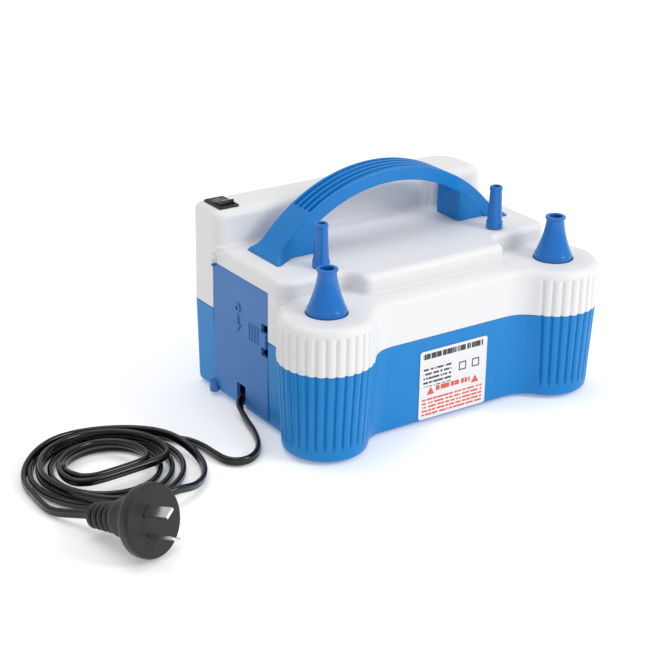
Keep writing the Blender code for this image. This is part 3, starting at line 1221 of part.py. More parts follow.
def plug_profile():
    """The moulded plug's profile, as (radius, distance behind the pin face)."""
    neck_end = PLUG_RIM + PLUG_NECK_LENGTH
    profile = [(PLUG_RADIUS - 1.2, 0.0), (PLUG_RADIUS, 1.0), (PLUG_RADIUS - 0.3, PLUG_RIM - 2.0),
               (PLUG_RADIUS - 2.2, PLUG_RIM), (PLUG_NECK_RADIUS + 2.5, PLUG_RIM + 2.6),
               (PLUG_NECK_RADIUS, PLUG_RIM + 5.0), (PLUG_NECK_RADIUS - 0.3, neck_end - 2.0),
               (PLUG_NECK_RADIUS - 1.5, neck_end)]
    pitch = PLUG_RELIEF_LENGTH / PLUG_RIBS
    for i in range(PLUG_RIBS):
        start = neck_end + i * pitch
        radius = PLUG_RELIEF_RADIUS - 0.45 * i
        profile += [(radius - 1.2, start + 0.6), (radius, start + 1.2), (radius, start + pitch - 0.6),
                    (radius - 1.0, start + pitch)]
    return profile


def plug_face():
    """Middle of the plug's pin face, at the height where its rim rests on the floor."""
    tilt = math.radians(PLUG_TILT)
    height = max(radius * math.cos(tilt) + behind * math.sin(tilt) for radius, behind in plug_profile())
    return Vector((*PLUG_CENTRE, height + FLOOR_LIFT))


def on_coil(angle, radius):
    turn = math.radians(angle)
    return (COIL_CENTRE[0] + radius * math.cos(turn), COIL_CENTRE[1] + radius * math.sin(turn))


def cord_lead_points():
    """From the relief's tip, down through the slot, along the wall and over to the coil."""
    start = BIN_BACK - BIN_WALL - GAP - RELIEF_LENGTH - GAP
    low = CORD_RADIUS + FLOOR_LIFT
    turn_x = DOOR_OUTER_X + 0.8
    points = []
    straight = (0.0, 0.1, 0.2, 0.35, 0.5)
    for share in straight:
        points.append((start - (start - turn_x) * share / 0.68, CORD_Y))
    for degrees in (0.0, 22.0, 45.0, 70.0):
        angle = math.radians(degrees)
        points.append((turn_x - CORD_TURN * math.sin(angle), CORD_Y - CORD_TURN * (1.0 - math.cos(angle))))
    route = []
    for x, y in points:
        share = min(max(turn_x + 12.4 - x, 0.0) / CORD_DROP, 1.0)
        fall = 3 * share ** 2 - 2 * share ** 3
        route.append((x, y, CORD_EXIT_Z + (low - CORD_EXIT_Z) * fall))
    for out, y in ((12.5, 2.0), (13.2, -9.0), (15.0, -19.5), (19.0, -29.0), (25.7, -36.5), (34.2, -39.8),
                   (42.2, -36.5), (47.2, -29.0), (49.5, -18.5), (52.5, -8.0)):
        route.append((DOOR_OUTER_X - out, y, low))
    joint = COIL_OUTER + CORD_RADIUS + GAP
    route.append((*on_coil(COIL_ENTRY - 11.0, joint + 0.6), low))
    route.append((*on_coil(COIL_ENTRY, joint), low))
    return route


def cord_tail_points():
    """From the coil to the plug's relief."""
    low = CORD_RADIUS + FLOOR_LIFT
    face = plug_face()
    length = PLUG_RIM + PLUG_NECK_LENGTH + PLUG_RELIEF_LENGTH
    direction = plug_direction()
    end = face - direction * (length + 2 * GAP)
    before = face - direction * (length + 8.0)
    x, y = on_coil(COIL_LEAVE, COIL_OUTER + CORD_RADIUS + GAP)
    return [(x, y, low), (x - 0.8, y - 11.0, low), (x - 0.6, y - 22.0, low), (x + 0.8, y - 32.0, low + 0.3),
            (x + 3.4, y - 40.5, low + 1.6), tuple(before), tuple(end)]


def cord_run(name, route):
    """A plain tube along a route, straight at both ends and never below the floor."""
    low = CORD_RADIUS + FLOOR_LIFT
    line = smooth_route(route, CORD_DIAMETER * 2)
    line.insert(1, Vector(route[0]).lerp(Vector(route[1]), 0.5))
    line.insert(-1, Vector(route[-1]).lerp(Vector(route[-2]), 0.4))
    points = [(p.x, p.y, max(p.z, low)) for p in line]
    make_tube(name, points, CORD_RADIUS, BLACK, 0.4)


def build_cord():
    cord_run("cord_lead", cord_lead_points())
    cord_run("cord_tail", cord_tail_points())
    low = FLOOR_LIFT
    high = COIL_HEIGHT
    edge = 2.5
    profile = [(COIL_INNER, low + edge), (COIL_INNER + edge, low), (COIL_OUTER - edge, low),
               (COIL_OUTER, low + edge), (COIL_OUTER, high - edge), (COIL_OUTER - edge, high),
               (COIL_INNER + edge, high),
               (COIL_INNER, high - edge)]
    finish("cord_coil", turned(profile, upright(*COIL_CENTRE), 36, True), BLACK, 0.4)


def build_plug():
    """Round two-pin mains plug with a moulded neck and a ribbed relief."""
    face = plug_face()
    direction = plug_direction()
    place = along(face, -direction)
    made = finish("plug_body", turned(plug_profile(), place, 28), (0.05, 0.05, 0.05), 0.5)

    up = Vector((0.0, 0.0, 1.0))
    sideways = direction.cross(up).normalized()
    across = sideways.cross(direction).normalized()
    sockets = bmesh.new()
    middle = -sideways * (PIN_OFFSET * math.sin(math.radians(PIN_SLANT)))
    spread = PIN_OFFSET * math.cos(math.radians(PIN_SLANT))
    for name, side in (("lower", -1), ("upper", 1)):
        pin = bmesh.new()
        centre = face + middle + across * (side * spread)
        slant = math.radians(90.0 - PIN_SLANT)
        wide = (across * math.cos(slant) * side - sideways * math.sin(slant)).normalized()
        thin = direction.cross(wide).normalized()
        for target, grow, low, high in ((pin, 0.0, -4.0, PIN_LENGTH), (sockets, GAP, -4.0 - GAP, OVERLAP)):
            rings = []
            for reach in (low, high):
                ring = []
                for a, b in ((-1, -1), (1, -1), (1, 1), (-1, 1)):
                    ring.append(centre + direction * reach + wide * (a * (PIN_WIDTH / 2 + grow))
                                + thin * (b * (PIN_THICKNESS / 2 + grow)))
                rings.append(ring)
            add_rings(target, rings)
        finish("plug_pin_" + name, pin, BRASS, 0.3, 1.0)
    cut(made, sockets, "pin_sockets")


# ---------------------------------------------------------------- build everything

build_bottom_shell()
build_top_shell()
build_fasteners()
build_feet()
build_label()
build_handle()
build_door()
build_bin()
build_cord_entry()
for label, direction_x in (("left", -1), ("right", 1)):
    build_nozzle(label, direction_x)
    build_spare_nozzle(label, direction_x)
    build_sleeve(label, direction_x)
    build_spring(label, direction_x)
    build_valve(label, direction_x)
    build_duct(label, direction_x)
    build_microswitch(label, direction_x)
build_switch()
build_motor_housing()
build_fan_casing()
build_impeller()
commutator_front = build_rotor()
build_bearings()
build_stator()
build_brushes(commutator_front)
build_cradle()
build_wiring()
build_cord()
build_plug()
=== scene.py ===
import math

import bmesh
import bpy
from mathutils import Matrix, Vector


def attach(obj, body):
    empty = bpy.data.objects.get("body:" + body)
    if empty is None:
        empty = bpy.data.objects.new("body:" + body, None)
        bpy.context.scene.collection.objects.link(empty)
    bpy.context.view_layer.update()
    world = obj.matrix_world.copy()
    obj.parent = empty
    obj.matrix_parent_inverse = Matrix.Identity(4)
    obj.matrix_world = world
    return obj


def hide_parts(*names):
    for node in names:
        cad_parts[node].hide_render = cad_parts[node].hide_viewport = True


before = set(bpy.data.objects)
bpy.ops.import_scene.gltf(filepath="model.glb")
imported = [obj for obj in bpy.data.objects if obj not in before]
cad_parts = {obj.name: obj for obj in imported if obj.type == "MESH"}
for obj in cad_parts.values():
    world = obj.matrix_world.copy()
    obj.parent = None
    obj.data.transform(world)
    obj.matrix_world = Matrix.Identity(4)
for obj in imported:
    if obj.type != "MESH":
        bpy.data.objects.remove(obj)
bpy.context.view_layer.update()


# ------------------------------------------------------------------ table top, daylight and camera
# The pump stands on a white sweep. A large soft light stands in front to the right, a weaker one
# overhead, and the white surroundings fill the shaded left wall.

def studio_white():
    paper = bpy.data.materials.new("studio paper")
    paper.use_nodes = True
    nodes = paper.node_tree.nodes
    links = paper.node_tree.links
    shader = nodes["Principled BSDF"]
    shader.inputs["Roughness"].default_value = 0.9
    shader.inputs["Specular IOR Level"].default_value = 0.1
    shader.inputs["Emission Color"].default_value = (1.0, 1.0, 1.0, 1.0)
    shader.inputs["Emission Strength"].default_value = 0.22
    fibres = nodes.new("ShaderNodeTexNoise")
    fibres.inputs["Scale"].default_value = 3.0
    tone = nodes.new("ShaderNodeMapRange")
    tone.inputs["To Min"].default_value = 0.93
    tone.inputs["To Max"].default_value = 0.95
    place = nodes.new("ShaderNodeTexCoord")
    links.new(place.outputs["Object"], fibres.inputs["Vector"])
    links.new(fibres.outputs["Fac"], tone.inputs["Value"])
    links.new(tone.outputs["Result"], shader.inputs["Base Color"])
    return paper


bpy.ops.object.select_all(action="DESELECT")
bpy.ops.mesh.primitive_plane_add(size=14.0, location=(0.0, 0.0, -0.0005))
table = bpy.context.object
table.name = "studio_floor"
table.data.materials.append(studio_white())

surroundings = bpy.data.worlds.new("white room")
surroundings.use_nodes = True
surroundings.node_tree.nodes["Background"].inputs["Color"].default_value = (1.0, 1.0, 1.0, 1.0)
surroundings.node_tree.nodes["Background"].inputs["Strength"].default_value = 0.66
bpy.context.scene.world = surroundings
bpy.context.scene.view_settings.view_transform = "Standard"


def soft_light(name, place, size, power):
    lamp = bpy.data.lights.new(name, "AREA")
    lamp.shape = "DISK"
    lamp.size = size
    lamp.energy = power
    holder = bpy.data.objects.new(name, lamp)
    bpy.context.collection.objects.link(holder)
    holder.location = place
    holder.rotation_euler = (Vector((-0.03, 0.0, 0.05)) - Vector(place)).to_track_quat("-Z", "Y").to_euler()


soft_light("front_right_softbox", (0.95, -1.5, 1.25), 0.9, 17.0)
soft_light("overhead_softbox", (-0.2, 0.5, 1.9), 1.4, 9.0)

away = math.radians(-34.36)
rise = math.radians(22.78)
lean = math.radians(0.86)
back = Vector((math.sin(away) * math.cos(rise), -math.cos(away) * math.cos(rise), math.sin(rise)))
right = Vector((0.0, 0.0, 1.0)).cross(back).normalized()
up = back.cross(right)
across = right * math.cos(lean) + up * math.sin(lean)
stand = Matrix((across, back.cross(across), back)).transposed().to_4x4()
stand.translation = (-0.5872, -0.7830, 0.4503)
lens = bpy.data.cameras.new("camera")
lens.lens = 95.78
lens.sensor_width = 36.0
camera = bpy.data.objects.new("camera", lens)
camera.matrix_world = stand
bpy.context.collection.objects.link(camera)
bpy.context.scene.camera = camera


# ------------------------------------------------------------------ mains lead
# Flat twin lead in black PVC, 5.2 mm wide, with a groove along the middle. It leaves the strain
# relief in the storage compartment, drops to the table, and is wound in a loose coil on its edge.

def object_space(nodes):
    return nodes.new("ShaderNodeTexCoord").outputs["Object"]


def fine_surface():
    """Height and gloss of a moulded skin, on the piece's own coordinates."""
    group = bpy.data.node_groups.new("moulded skin", "ShaderNodeTree")
    face = group.interface
    grain = face.new_socket("Grain", in_out="INPUT", socket_type="NodeSocketFloat")
    grain.default_value = 900.0
    face.new_socket("Height", in_out="OUTPUT", socket_type="NodeSocketFloat")
    face.new_socket("Gloss", in_out="OUTPUT", socket_type="NodeSocketFloat")
    face.new_socket("Scuff", in_out="OUTPUT", socket_type="NodeSocketFloat")
    nodes = group.nodes
    links = group.links
    entry = nodes.new("NodeGroupInput")
    leave = nodes.new("NodeGroupOutput")
    where = object_space(nodes)
    pits = nodes.new("ShaderNodeTexNoise")
    pits.inputs["Detail"].default_value = 4.0
    links.new(where, pits.inputs["Vector"])
    links.new(entry.outputs["Grain"], pits.inputs["Scale"])
    links.new(pits.outputs["Fac"], leave.inputs["Height"])
    cloud = nodes.new("ShaderNodeTexNoise")
    cloud.inputs["Scale"].default_value = 28.0
    cloud.inputs["Detail"].default_value = 3.0
    links.new(where, cloud.inputs["Vector"])
    links.new(cloud.outputs["Fac"], leave.inputs["Gloss"])
    stretch = nodes.new("ShaderNodeMapping")
    stretch.inputs["Scale"].default_value = (60.0, 190.0, 420.0)
    stretch.inputs["Rotation"].default_value = (0.4, 0.3, 0.5)
    links.new(where, stretch.inputs["Vector"])
    streaks = nodes.new("ShaderNodeTexNoise")
    streaks.inputs["Scale"].default_value = 1.0
    streaks.inputs["Detail"].default_value = 5.0
    links.new(stretch.outputs["Vector"], streaks.inputs["Vector"])
    marks = nodes.new("ShaderNodeMapRange")
    marks.inputs["From Min"].default_value = 0.66
    marks.inputs["From Max"].default_value = 0.78
    links.new(streaks.outputs["Fac"], marks.inputs["Value"])
    links.new(marks.outputs["Result"], leave.inputs["Scuff"])
    return group


moulded_skin = fine_surface()


def moulded_plastic(name, colour, worn, roughness, grain, bump, coat=0.0, metallic=0.0):
    """A surface whose colour is rubbed towards a worn one, with uneven gloss and a grain of bump mm."""
    made = bpy.data.materials.new(name)
    made.use_nodes = True
    nodes = made.node_tree.nodes
    links = made.node_tree.links
    shader = nodes["Principled BSDF"]
    shader.inputs["Metallic"].default_value = metallic
    shader.inputs["Coat Weight"].default_value = coat
    shader.inputs["Coat Roughness"].default_value = 0.2
    shader.inputs["Specular IOR Level"].default_value = 0.34
    skin = nodes.new("ShaderNodeGroup")
    skin.node_tree = moulded_skin
    skin.inputs["Grain"].default_value = grain
    rub = nodes.new("ShaderNodeMix")
    rub.data_type = "RGBA"
    rub.inputs["A"].default_value = (*colour, 1.0)
    rub.inputs["B"].default_value = (*worn, 1.0)
    links.new(skin.outputs["Scuff"], rub.inputs["Factor"])
    links.new(rub.outputs["Result"], shader.inputs["Base Color"])
    gloss = nodes.new("ShaderNodeMapRange")
    gloss.inputs["From Min"].default_value = 0.3
    gloss.inputs["From Max"].default_value = 0.7
    gloss.inputs["To Min"].default_value = roughness - 0.05
    gloss.inputs["To Max"].default_value = roughness + 0.07
    links.new(skin.outputs["Gloss"], gloss.inputs["Value"])
    links.new(gloss.outputs["Result"], shader.inputs["Roughness"])
    relief = nodes.new("ShaderNodeBump")
    relief.inputs["Strength"].default_value = 0.5
    relief.inputs["Distance"].default_value = bump * 0.001
    links.new(skin.outputs["Height"], relief.inputs["Height"])
    links.new(relief.outputs["Normal"], shader.inputs["Normal"])
    return made


def through_points(points, spacing):
    """Evenly spaced points on a smooth curve through the given ones, in mm."""
    held = [Vector(p) for p in points]
    held = [held[0] * 2 - held[1]] + held + [held[-1] * 2 - held[-2]]
    fine = []
    for i in range(1, len(held) - 2):
        a, b, c, d = held[i - 1:i + 3]
        for k in range(16):
            t = k / 16
            fine.append(0.5 * (2 * b + (c - a) * t + (2 * a - 5 * b + 4 * c - d) * t ** 2
                               + (3 * b - a - 3 * c + d) * t ** 3))
    fine.append(held[-2])
    out = [fine[0]]
    walked = 0.0
    for i in range(len(fine) - 1):
        step = (fine[i + 1] - fine[i]).length
        while step > 0 and walked + step >= spacing * len(out):
            out.append(fine[i].lerp(fine[i + 1], (spacing * len(out) - walked) / step))
        walked += step
    if (out[-1] - fine[-1]).length > spacing * 0.4:
        out.append(fine[-1])
    else:
        out[-1] = fine[-1]
    return out


def smooth_step(value):
    value = min(max(value, 0.0), 1.0)
    return value * value * (3.0 - 2.0 * value)


def between(stops, at):
    """Value at a place along (place, value) stops, easing from each stop to the next."""
    for (a, low), (b, high) in zip(stops, stops[1:]):
        if at <= b:
            return low + (high - low) * smooth_step((at - a) / (b - a))
    return stops[-1][1]


coil_x = -203.0
coil_y = -11.0
edge_height = 2.65

floor_route = ((-109.9, -12.2), (-113.2, -21.4), (-117.4, -30.2), (-123.4, -37.7), (-130.8, -41.9),
               (-138.0, -41.3), (-142.8, -35.6), (-144.2, -26.0), (-144.9, -16.0), (-147.4, -6.5),
               (-152.0, 0.8))
lead_route = [(-80.6, 19.0, 12.8), (-83.2, 19.0, 12.8), (-85.7, 19.0, 12.8), (-89.6, 19.0, 12.5),
              (-93.4, 18.9, 11.4), (-98.0, 18.3, 9.4), (-102.0, 15.6, 7.0), (-104.3, 10.6, 5.2),
              (-106.0, 4.0, 4.0), (-107.8, -3.5, 3.1)]
lead_route += [(x, y, edge_height) for x, y in floor_route]

# the coil, as radius and height against turns made; two inner turns are pulled across the hole
coil_radius = ((0.0, 47.6), (0.45, 43.2), (1.0, 40.6), (2.0, 34.4), (3.0, 27.6), (3.9, 21.5), (4.2, 23.0),
               (4.5, 30.0), (5.1, 35.0), (5.45, 38.5), (5.79, 53.5), (6.12, 39.0), (6.43, 48.0))
coil_lift = ((0.0, 0.0), (3.25, 0.0), (3.5, 5.35), (5.72, 5.35), (5.80, 0.4), (5.86, 0.4),
             (5.99, 5.35), (6.22, 5.35), (6.40, 0.0))
pulled_across = {3: 12.5, 4: 16.6}
pull_heading = math.radians(274.0)
steps_a_turn = 26
winding = []
for i in range(1, 6 * steps_a_turn + 12):
    turn = i / steps_a_turn
    angle = math.radians(25.0 + 360.0 * turn)
    radius = between(coil_radius, turn)
    facing = math.cos(angle - pull_heading)
    if int(turn) in pulled_across and facing > 0.0:
        radius = (radius ** -6 + (facing / pulled_across[int(turn)]) ** 6) ** (-1 / 6)
    winding.append((coil_x + radius * math.cos(angle), coil_y + radius * math.sin(angle),
                    edge_height + between(coil_lift, turn)))

# the moulded plug lies on its rim, its pin face turned up a little
plug_heading = math.radians(289.0)
plug_tilt = math.radians(15.0)
plug_way = Vector((math.cos(plug_heading) * math.cos(plug_tilt),
                   math.sin(plug_heading) * math.cos(plug_tilt), math.sin(plug_tilt)))
plug_face = Vector((-225.3, -104.2, 20.75))
plug_back = plug_face - plug_way * 45.4
tail_route = [(-250.9, -11.0, edge_height), (-251.7, -22.0, edge_height), (-251.5, -33.0, edge_height),
              (-249.0, -41.0, edge_height + 0.6), tuple(plug_face - plug_way * 53.0), tuple(plug_back)]

lead_path = through_points(lead_route + winding + tail_route, 2.6)
lead_path = [Vector((p.x, p.y, max(p.z, edge_height))) for p in lead_path]

twin_section = []
for side in (1, -1):
    for k in range(-4, 5):
        if side == -1 and abs(k) == 4:
            continue
        angle = math.radians(128.7 * k / 4)
        twin_section.append((side * (1.0 + 1.6 * math.cos(angle)), side * 1.6 * math.sin(angle)))

# the flat lead's turn about its own line, in degrees against the way gone; it stands on edge in the coil
lead_turn = ((0.0, 12.0), (14.0, 20.0), (40.0, 84.0), (95.0, 78.0), (135.0, 100.0), (210.0, 80.0))
corners = []
walls = []
travelled = 0.0
for i, point in enumerate(lead_path):
    ahead = lead_path[min(i + 1, len(lead_path) - 1)]
    behind = lead_path[max(i - 1, 0)]
    tangent = (ahead - behind).normalized()
    travelled += (point - behind).length
    level = tangent.cross(Vector((0.0, 0.0, 1.0))).normalized()
    upward = level.cross(tangent)
    roll = between(lead_turn, travelled)
    roll = math.radians(roll + 7.0 * math.sin(travelled / 47.0) * min(travelled / 200.0, 1.0))
    wide = level * math.cos(roll) + upward * math.sin(roll)
    thin = upward * math.cos(roll) - level * math.sin(roll)
    for a, b in twin_section:
        corners.append((point + wide * a + thin * b) * 0.001)
    if i:
        low = (i - 1) * 16
        for k in range(16):
            walls.append((low + k, low + (k + 1) % 16, low + 16 + (k + 1) % 16, low + 16 + k))
walls.append(tuple(range(15, -1, -1)))
walls.append(tuple(range(len(corners) - 16, len(corners))))
lead_mesh = bpy.data.meshes.new("mains_lead")
lead_mesh.from_pydata(corners, [], walls)
lead = bpy.data.objects.new("mains_lead", lead_mesh)
bpy.context.collection.objects.link(lead)


def take_up(piece):
    """Select one piece and nothing else."""
    bpy.ops.object.select_all(action="DESELECT")
    piece.select_set(True)
    bpy.context.view_layer.objects.active = piece


def smooth_skin(piece, angle=32.0, weighted=True):
    """Round surfaces shade smooth up to a break in angle."""
    take_up(piece)
    bpy.ops.object.shade_smooth_by_angle(angle=math.radians(angle))
    if weighted:
        even = piece.modifiers.new("even normals", "WEIGHTED_NORMAL")
        even.keep_sharp = True
        bpy.ops.object.modifier_apply(modifier=even.name)


take_up(lead)
bpy.ops.object.mode_set(mode="EDIT")
bpy.ops.mesh.select_all(action="SELECT")
bpy.ops.mesh.normals_make_consistent(inside=False)
bpy.ops.object.mode_set(mode="OBJECT")
smooth_skin(lead, 50.0, False)
lead_black = moulded_plastic("lead pvc", (0.004, 0.004, 0.004), (0.02, 0.02, 0.021), 0.17, 700.0, 0.04, 0.3)
lead.data.materials.append(lead_black)
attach(lead, "housing")
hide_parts("cord_lead", "cord_coil", "cord_tail")


# ------------------------------------------------------------------ mains plug
# Moulded in one shot of soft black PVC on the lead: a ribbed relief, an oval neck and a round pin
# plate, with two flat nickel-plated pins slanting to each other.

def spin_up(name, profile, steps=48, loop=True):
    """Turn a (radius, height) profile in mm about the upright axis; an open one ends on the axis."""
    bpy.ops.object.select_all(action="DESELECT")
    bpy.ops.mesh.primitive_circle_add(vertices=len(profile), radius=0.01, fill_type="NOTHING")
    piece = bpy.context.object
    piece.name = name
    bpy.ops.object.mode_set(mode="EDIT")
    shape = bmesh.from_edit_mesh(piece.data)
    shape.verts.ensure_lookup_table()
    for vert, (radius, height) in zip(shape.verts, profile):
        vert.co = (radius * 0.001, 0.0, height * 0.001)
    if not loop:
        first = shape.verts[0]
        last = shape.verts[len(profile) - 1]
        shape.edges.remove([e for e in first.link_edges if e.other_vert(first) == last][0])
    bmesh.update_edit_mesh(piece.data)
    bpy.ops.mesh.select_all(action="SELECT")
    bpy.ops.mesh.spin(steps=steps, angle=2 * math.pi, center=(0.0, 0.0, 0.0), axis=(0.0, 0.0, 1.0))
    bpy.ops.mesh.select_all(action="SELECT")
    bpy.ops.mesh.remove_doubles(threshold=0.000002)
    bpy.ops.mesh.normals_make_consistent(inside=False)
    bpy.ops.object.mode_set(mode="OBJECT")
    return piece


def put(piece, matrix):
    """Set a finished piece in place and leave its object at the origin."""
    take_up(piece)
    piece.matrix_world = matrix
    bpy.ops.object.transform_apply(location=True, rotation=True, scale=True)


def bar_block(name, low, high, edge=0.0, segments=2):
    """A bar between two corners in mm, its edges broken by a bevel in edit mode."""
    bpy.ops.object.select_all(action="DESELECT")
    middle = [(a + b) * 0.0005 for a, b in zip(low, high)]
    bpy.ops.mesh.primitive_cube_add(size=1.0, location=middle)
    piece = bpy.context.object
    piece.name = name
    piece.scale = [(b - a) * 0.001 for a, b in zip(low, high)]
    bpy.ops.object.transform_apply(location=True, rotation=True, scale=True)
    if edge:
        bpy.ops.object.mode_set(mode="EDIT")
        bpy.ops.mesh.select_all(action="SELECT")
        bpy.ops.mesh.bevel(offset=edge * 0.001, segments=segments, affect="EDGES")
        bpy.ops.object.mode_set(mode="OBJECT")
    return piece


def carve(piece, tool, operation="DIFFERENCE"):
    """Cut a tool out of a piece, or fuse it on, and put the tool away."""
    take_up(piece)
    change = piece.modifiers.new("carve", "BOOLEAN")
    change.operation = operation
    change.solver = "EXACT"
    change.object = tool
    bpy.ops.object.modifier_apply(modifier=change.name)
    bpy.data.objects.remove(tool, do_unlink=True)


plug_profile = [(0.0, 0.0), (17.6, 0.0), (18.8, 0.25), (19.4, 0.9), (19.6, 1.8), (19.45, 5.0), (19.1, 6.5),
                (18.3, 7.7), (16.6, 8.8), (14.2, 9.8), (12.6, 11.2), (11.7, 13.0), (11.1, 15.6),
                (10.8, 18.6), (10.4, 21.8), (9.8, 24.0), (8.9, 25.5), (7.4, 26.2)]
for i in range(4):
    foot = 26.2 + i * 4.5
    crest = 8.4 - 0.5 * i
    plug_profile += [(crest - 1.6, foot + 0.45), (crest - 0.4, foot + 0.8), (crest, foot + 1.5),
                     (crest, foot + 3.0), (crest - 0.4, foot + 3.7), (crest - 1.6, foot + 4.1)]
plug_profile += [(4.6, 44.4), (3.0, 44.7), (0.0, 44.7)]
plug = spin_up("mains_plug", plug_profile, 56, loop=False)
# the neck is pressed flat on its two sides for the fingers
take_up(plug)
bpy.ops.object.mode_set(mode="EDIT")
shape = bmesh.from_edit_mesh(plug.data)
for vert in shape.verts:
    height = vert.co.z * 1000
    if 9.4 < height < 26.1:
        vert.co.y *= 1.0 - 0.16 * math.sin(math.pi * (height - 9.4) / 16.7)
        vert.co.x *= 1.0 + 0.05 * math.sin(math.pi * (height - 9.4) / 16.7)
bmesh.update_edit_mesh(plug.data)
bpy.ops.object.mode_set(mode="OBJECT")

# a shallow moulded recess round each pin
pin_spots = []
for side in (-1, 1):
    spot = Matrix.Translation((side * 7.9 * math.cos(math.radians(30.0)) * 0.001,
                               -7.9 * math.sin(math.radians(30.0)) * 0.001, 0.0))
    pin_spots.append(spot @ Matrix.Rotation(math.radians(side * 60.0), 4, "Z"))
for i, spot in enumerate(pin_spots):
    seat = bar_block(f"pin_seat_{i}", (-3.5, -1.1, -0.8), (3.5, 1.1, 0.35), 0.2)
    put(seat, spot)
    carve(plug, seat)

plug_across = plug_way.cross(Vector((0.0, 0.0, 1.0))).normalized()
plug_rise = plug_across.cross(plug_way)
plug_place = Matrix((plug_rise, -plug_across, -plug_way)).transposed().to_4x4()
plug_place.translation = plug_face * 0.001
put(plug, plug_place)
smooth_skin(plug)
plug_black = moulded_plastic("plug pvc", (0.019, 0.019, 0.020), (0.07, 0.07, 0.07), 0.40, 1100.0, 0.06)
plug.data.materials.append(plug_black)
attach(plug, "housing")
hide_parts("plug_body")


def worked_metal(name, colour, worn, roughness, grain, bump, metallic=1.0):
    """The same surface in metal, rubbed towards a duller tone."""
    return moulded_plastic(name, colour, worn, roughness, grain, bump, 0.0, metallic)


pin_nickel = worked_metal("pin nickel", (0.78, 0.75, 0.70), (0.55, 0.50, 0.42), 0.20, 1500.0, 0.02)
for i, (spot, node) in enumerate(zip(pin_spots, ("plug_pin_lower", "plug_pin_upper"))):
    pin = bar_block(f"plug_blade_{i + 1}", (-3.15, -0.8, -17.0), (3.15, 0.8, 3.0))
    bpy.ops.object.mode_set(mode="EDIT")
    bpy.ops.mesh.select_all(action="DESELECT")
    shape = bmesh.from_edit_mesh(pin.data)
    for edge in shape.edges:
        edge.select = all(vert.co.z < -0.016 for vert in edge.verts)
    bmesh.update_edit_mesh(pin.data)
    bpy.ops.mesh.bevel(offset=0.0006, segments=3, affect="EDGES")
    bpy.ops.object.mode_set(mode="OBJECT")
    put(pin, plug_place @ spot)
    smooth_skin(pin)
    pin.data.materials.append(pin_nickel)
    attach(pin, "housing")
    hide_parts(node)


# ------------------------------------------------------------------ bottom shell
# Blue moulded tub with a fluted column at each front corner. The flutes fade out above the foot;
# the door opening, cord slot and intake slots are cut through its wall.

def half_round(radius, depth):
    """How far a quarter-round edge has come in, at a depth below its top."""
    if depth >= radius:
        return 0.0
    return radius - math.sqrt(radius ** 2 - (radius - depth) ** 2)


flute_section = ((0.0, 1.0), (0.055, 0.93), (0.12, 0.5), (0.2, 0.2), (0.34, 0.04), (0.5, 0.0), (0.66, 0.04),
                 (0.8, 0.2), (0.88, 0.5), (0.945, 0.93))
column_x = 83.0
column_y = -47.0
front_y = -54.3
side_x = 98.9
rear_y = 75.2
rear_round = 6.0
parting_z = 55.5
hinge_line = Matrix.Translation((-0.0996, 0.049, 0.0))
foot_places = ((-83.0, -47.0), (83.0, -47.0), (-80.0, 54.0), (80.0, 54.0))


def pump_plan(column, side_wall, back_wall, inset, flutes, rib=flute_section):
    """Plan of the body in mm: front wall, two fluted columns, side walls and back wall."""
    radius = column - inset
    front = front_y + inset
    side = side_wall - inset
    rear = back_wall - inset
    sweep = 22.0 + inset
    drop = column_y - (front - sweep)
    reach = math.sqrt((radius + sweep) ** 2 - drop ** 2)
    meet = math.atan2(drop, reach)
    half = []
    for k in range(13):
        angle = math.pi / 2 + (meet - math.pi / 2) * k / 12
        half.append((column_x - reach + sweep * math.cos(angle), front - sweep + sweep * math.sin(angle)))
    hollow = 3.0 + inset
    out = side + hollow - column_x
    rise_up = math.sqrt((radius + hollow) ** 2 - out ** 2)
    leave = math.atan2(rise_up, out)
    first = math.pi + meet + math.radians(3.5)
    pitch = (2 * math.pi + leave - first) / 16
    for i in range(16):
        for share, depth in rib:
            angle = first + pitch * (i + share)
            reach_out = radius - depth * flutes
            half.append((column_x + reach_out * math.cos(angle), column_y + reach_out * math.sin(angle)))
    for k in range(5):
        angle = math.pi + leave - leave * k / 4
        half.append((side + hollow + hollow * math.cos(angle),
                     column_y + rise_up + hollow * math.sin(angle)))
    round_off = rear_round - inset
    for k in range(10):
        angle = math.pi / 2 * k / 9
        half.append((side - round_off + round_off * math.cos(angle),
                     rear - round_off + round_off * math.sin(angle)))
    return half + [(-x, y) for x, y in reversed(half)]


def at_level(plan, z):
    return [(x, y, z) for x, y in plan]


def draw_up(name, rings):
    """A closed block in mm: the first ring is filled, and each later one is extruded from the last."""
    bpy.ops.object.select_all(action="DESELECT")
    count = len(rings[0])
    bpy.ops.mesh.primitive_circle_add(vertices=count, radius=0.01, fill_type="NGON")
    piece = bpy.context.object
    piece.name = name
    bpy.ops.object.mode_set(mode="EDIT")
    bpy.ops.mesh.select_all(action="SELECT")
    shape = bmesh.from_edit_mesh(piece.data)
    shape.verts.ensure_lookup_table()
    edge = list(range(count))
    for vert, point in zip(shape.verts, rings[0]):
        vert.co = Vector(point) * 0.001
    for ring in rings[1:]:
        bmesh.update_edit_mesh(piece.data)
        bpy.ops.mesh.extrude_region_move()
        shape = bmesh.from_edit_mesh(piece.data)
        shape.verts.ensure_lookup_table()
        raised = []
        for index, point in zip(edge, ring):
            vert = shape.verts[index]
            above = [e.other_vert(vert) for e in vert.link_edges if e.other_vert(vert).select][0]
            above.co = Vector(point) * 0.001
            raised.append(above.index)
        edge = raised
    bmesh.update_edit_mesh(piece.data)
    bpy.ops.mesh.select_all(action="SELECT")
    bpy.ops.mesh.normals_make_consistent(inside=False)
    bpy.ops.object.mode_set(mode="OBJECT")
    return piece


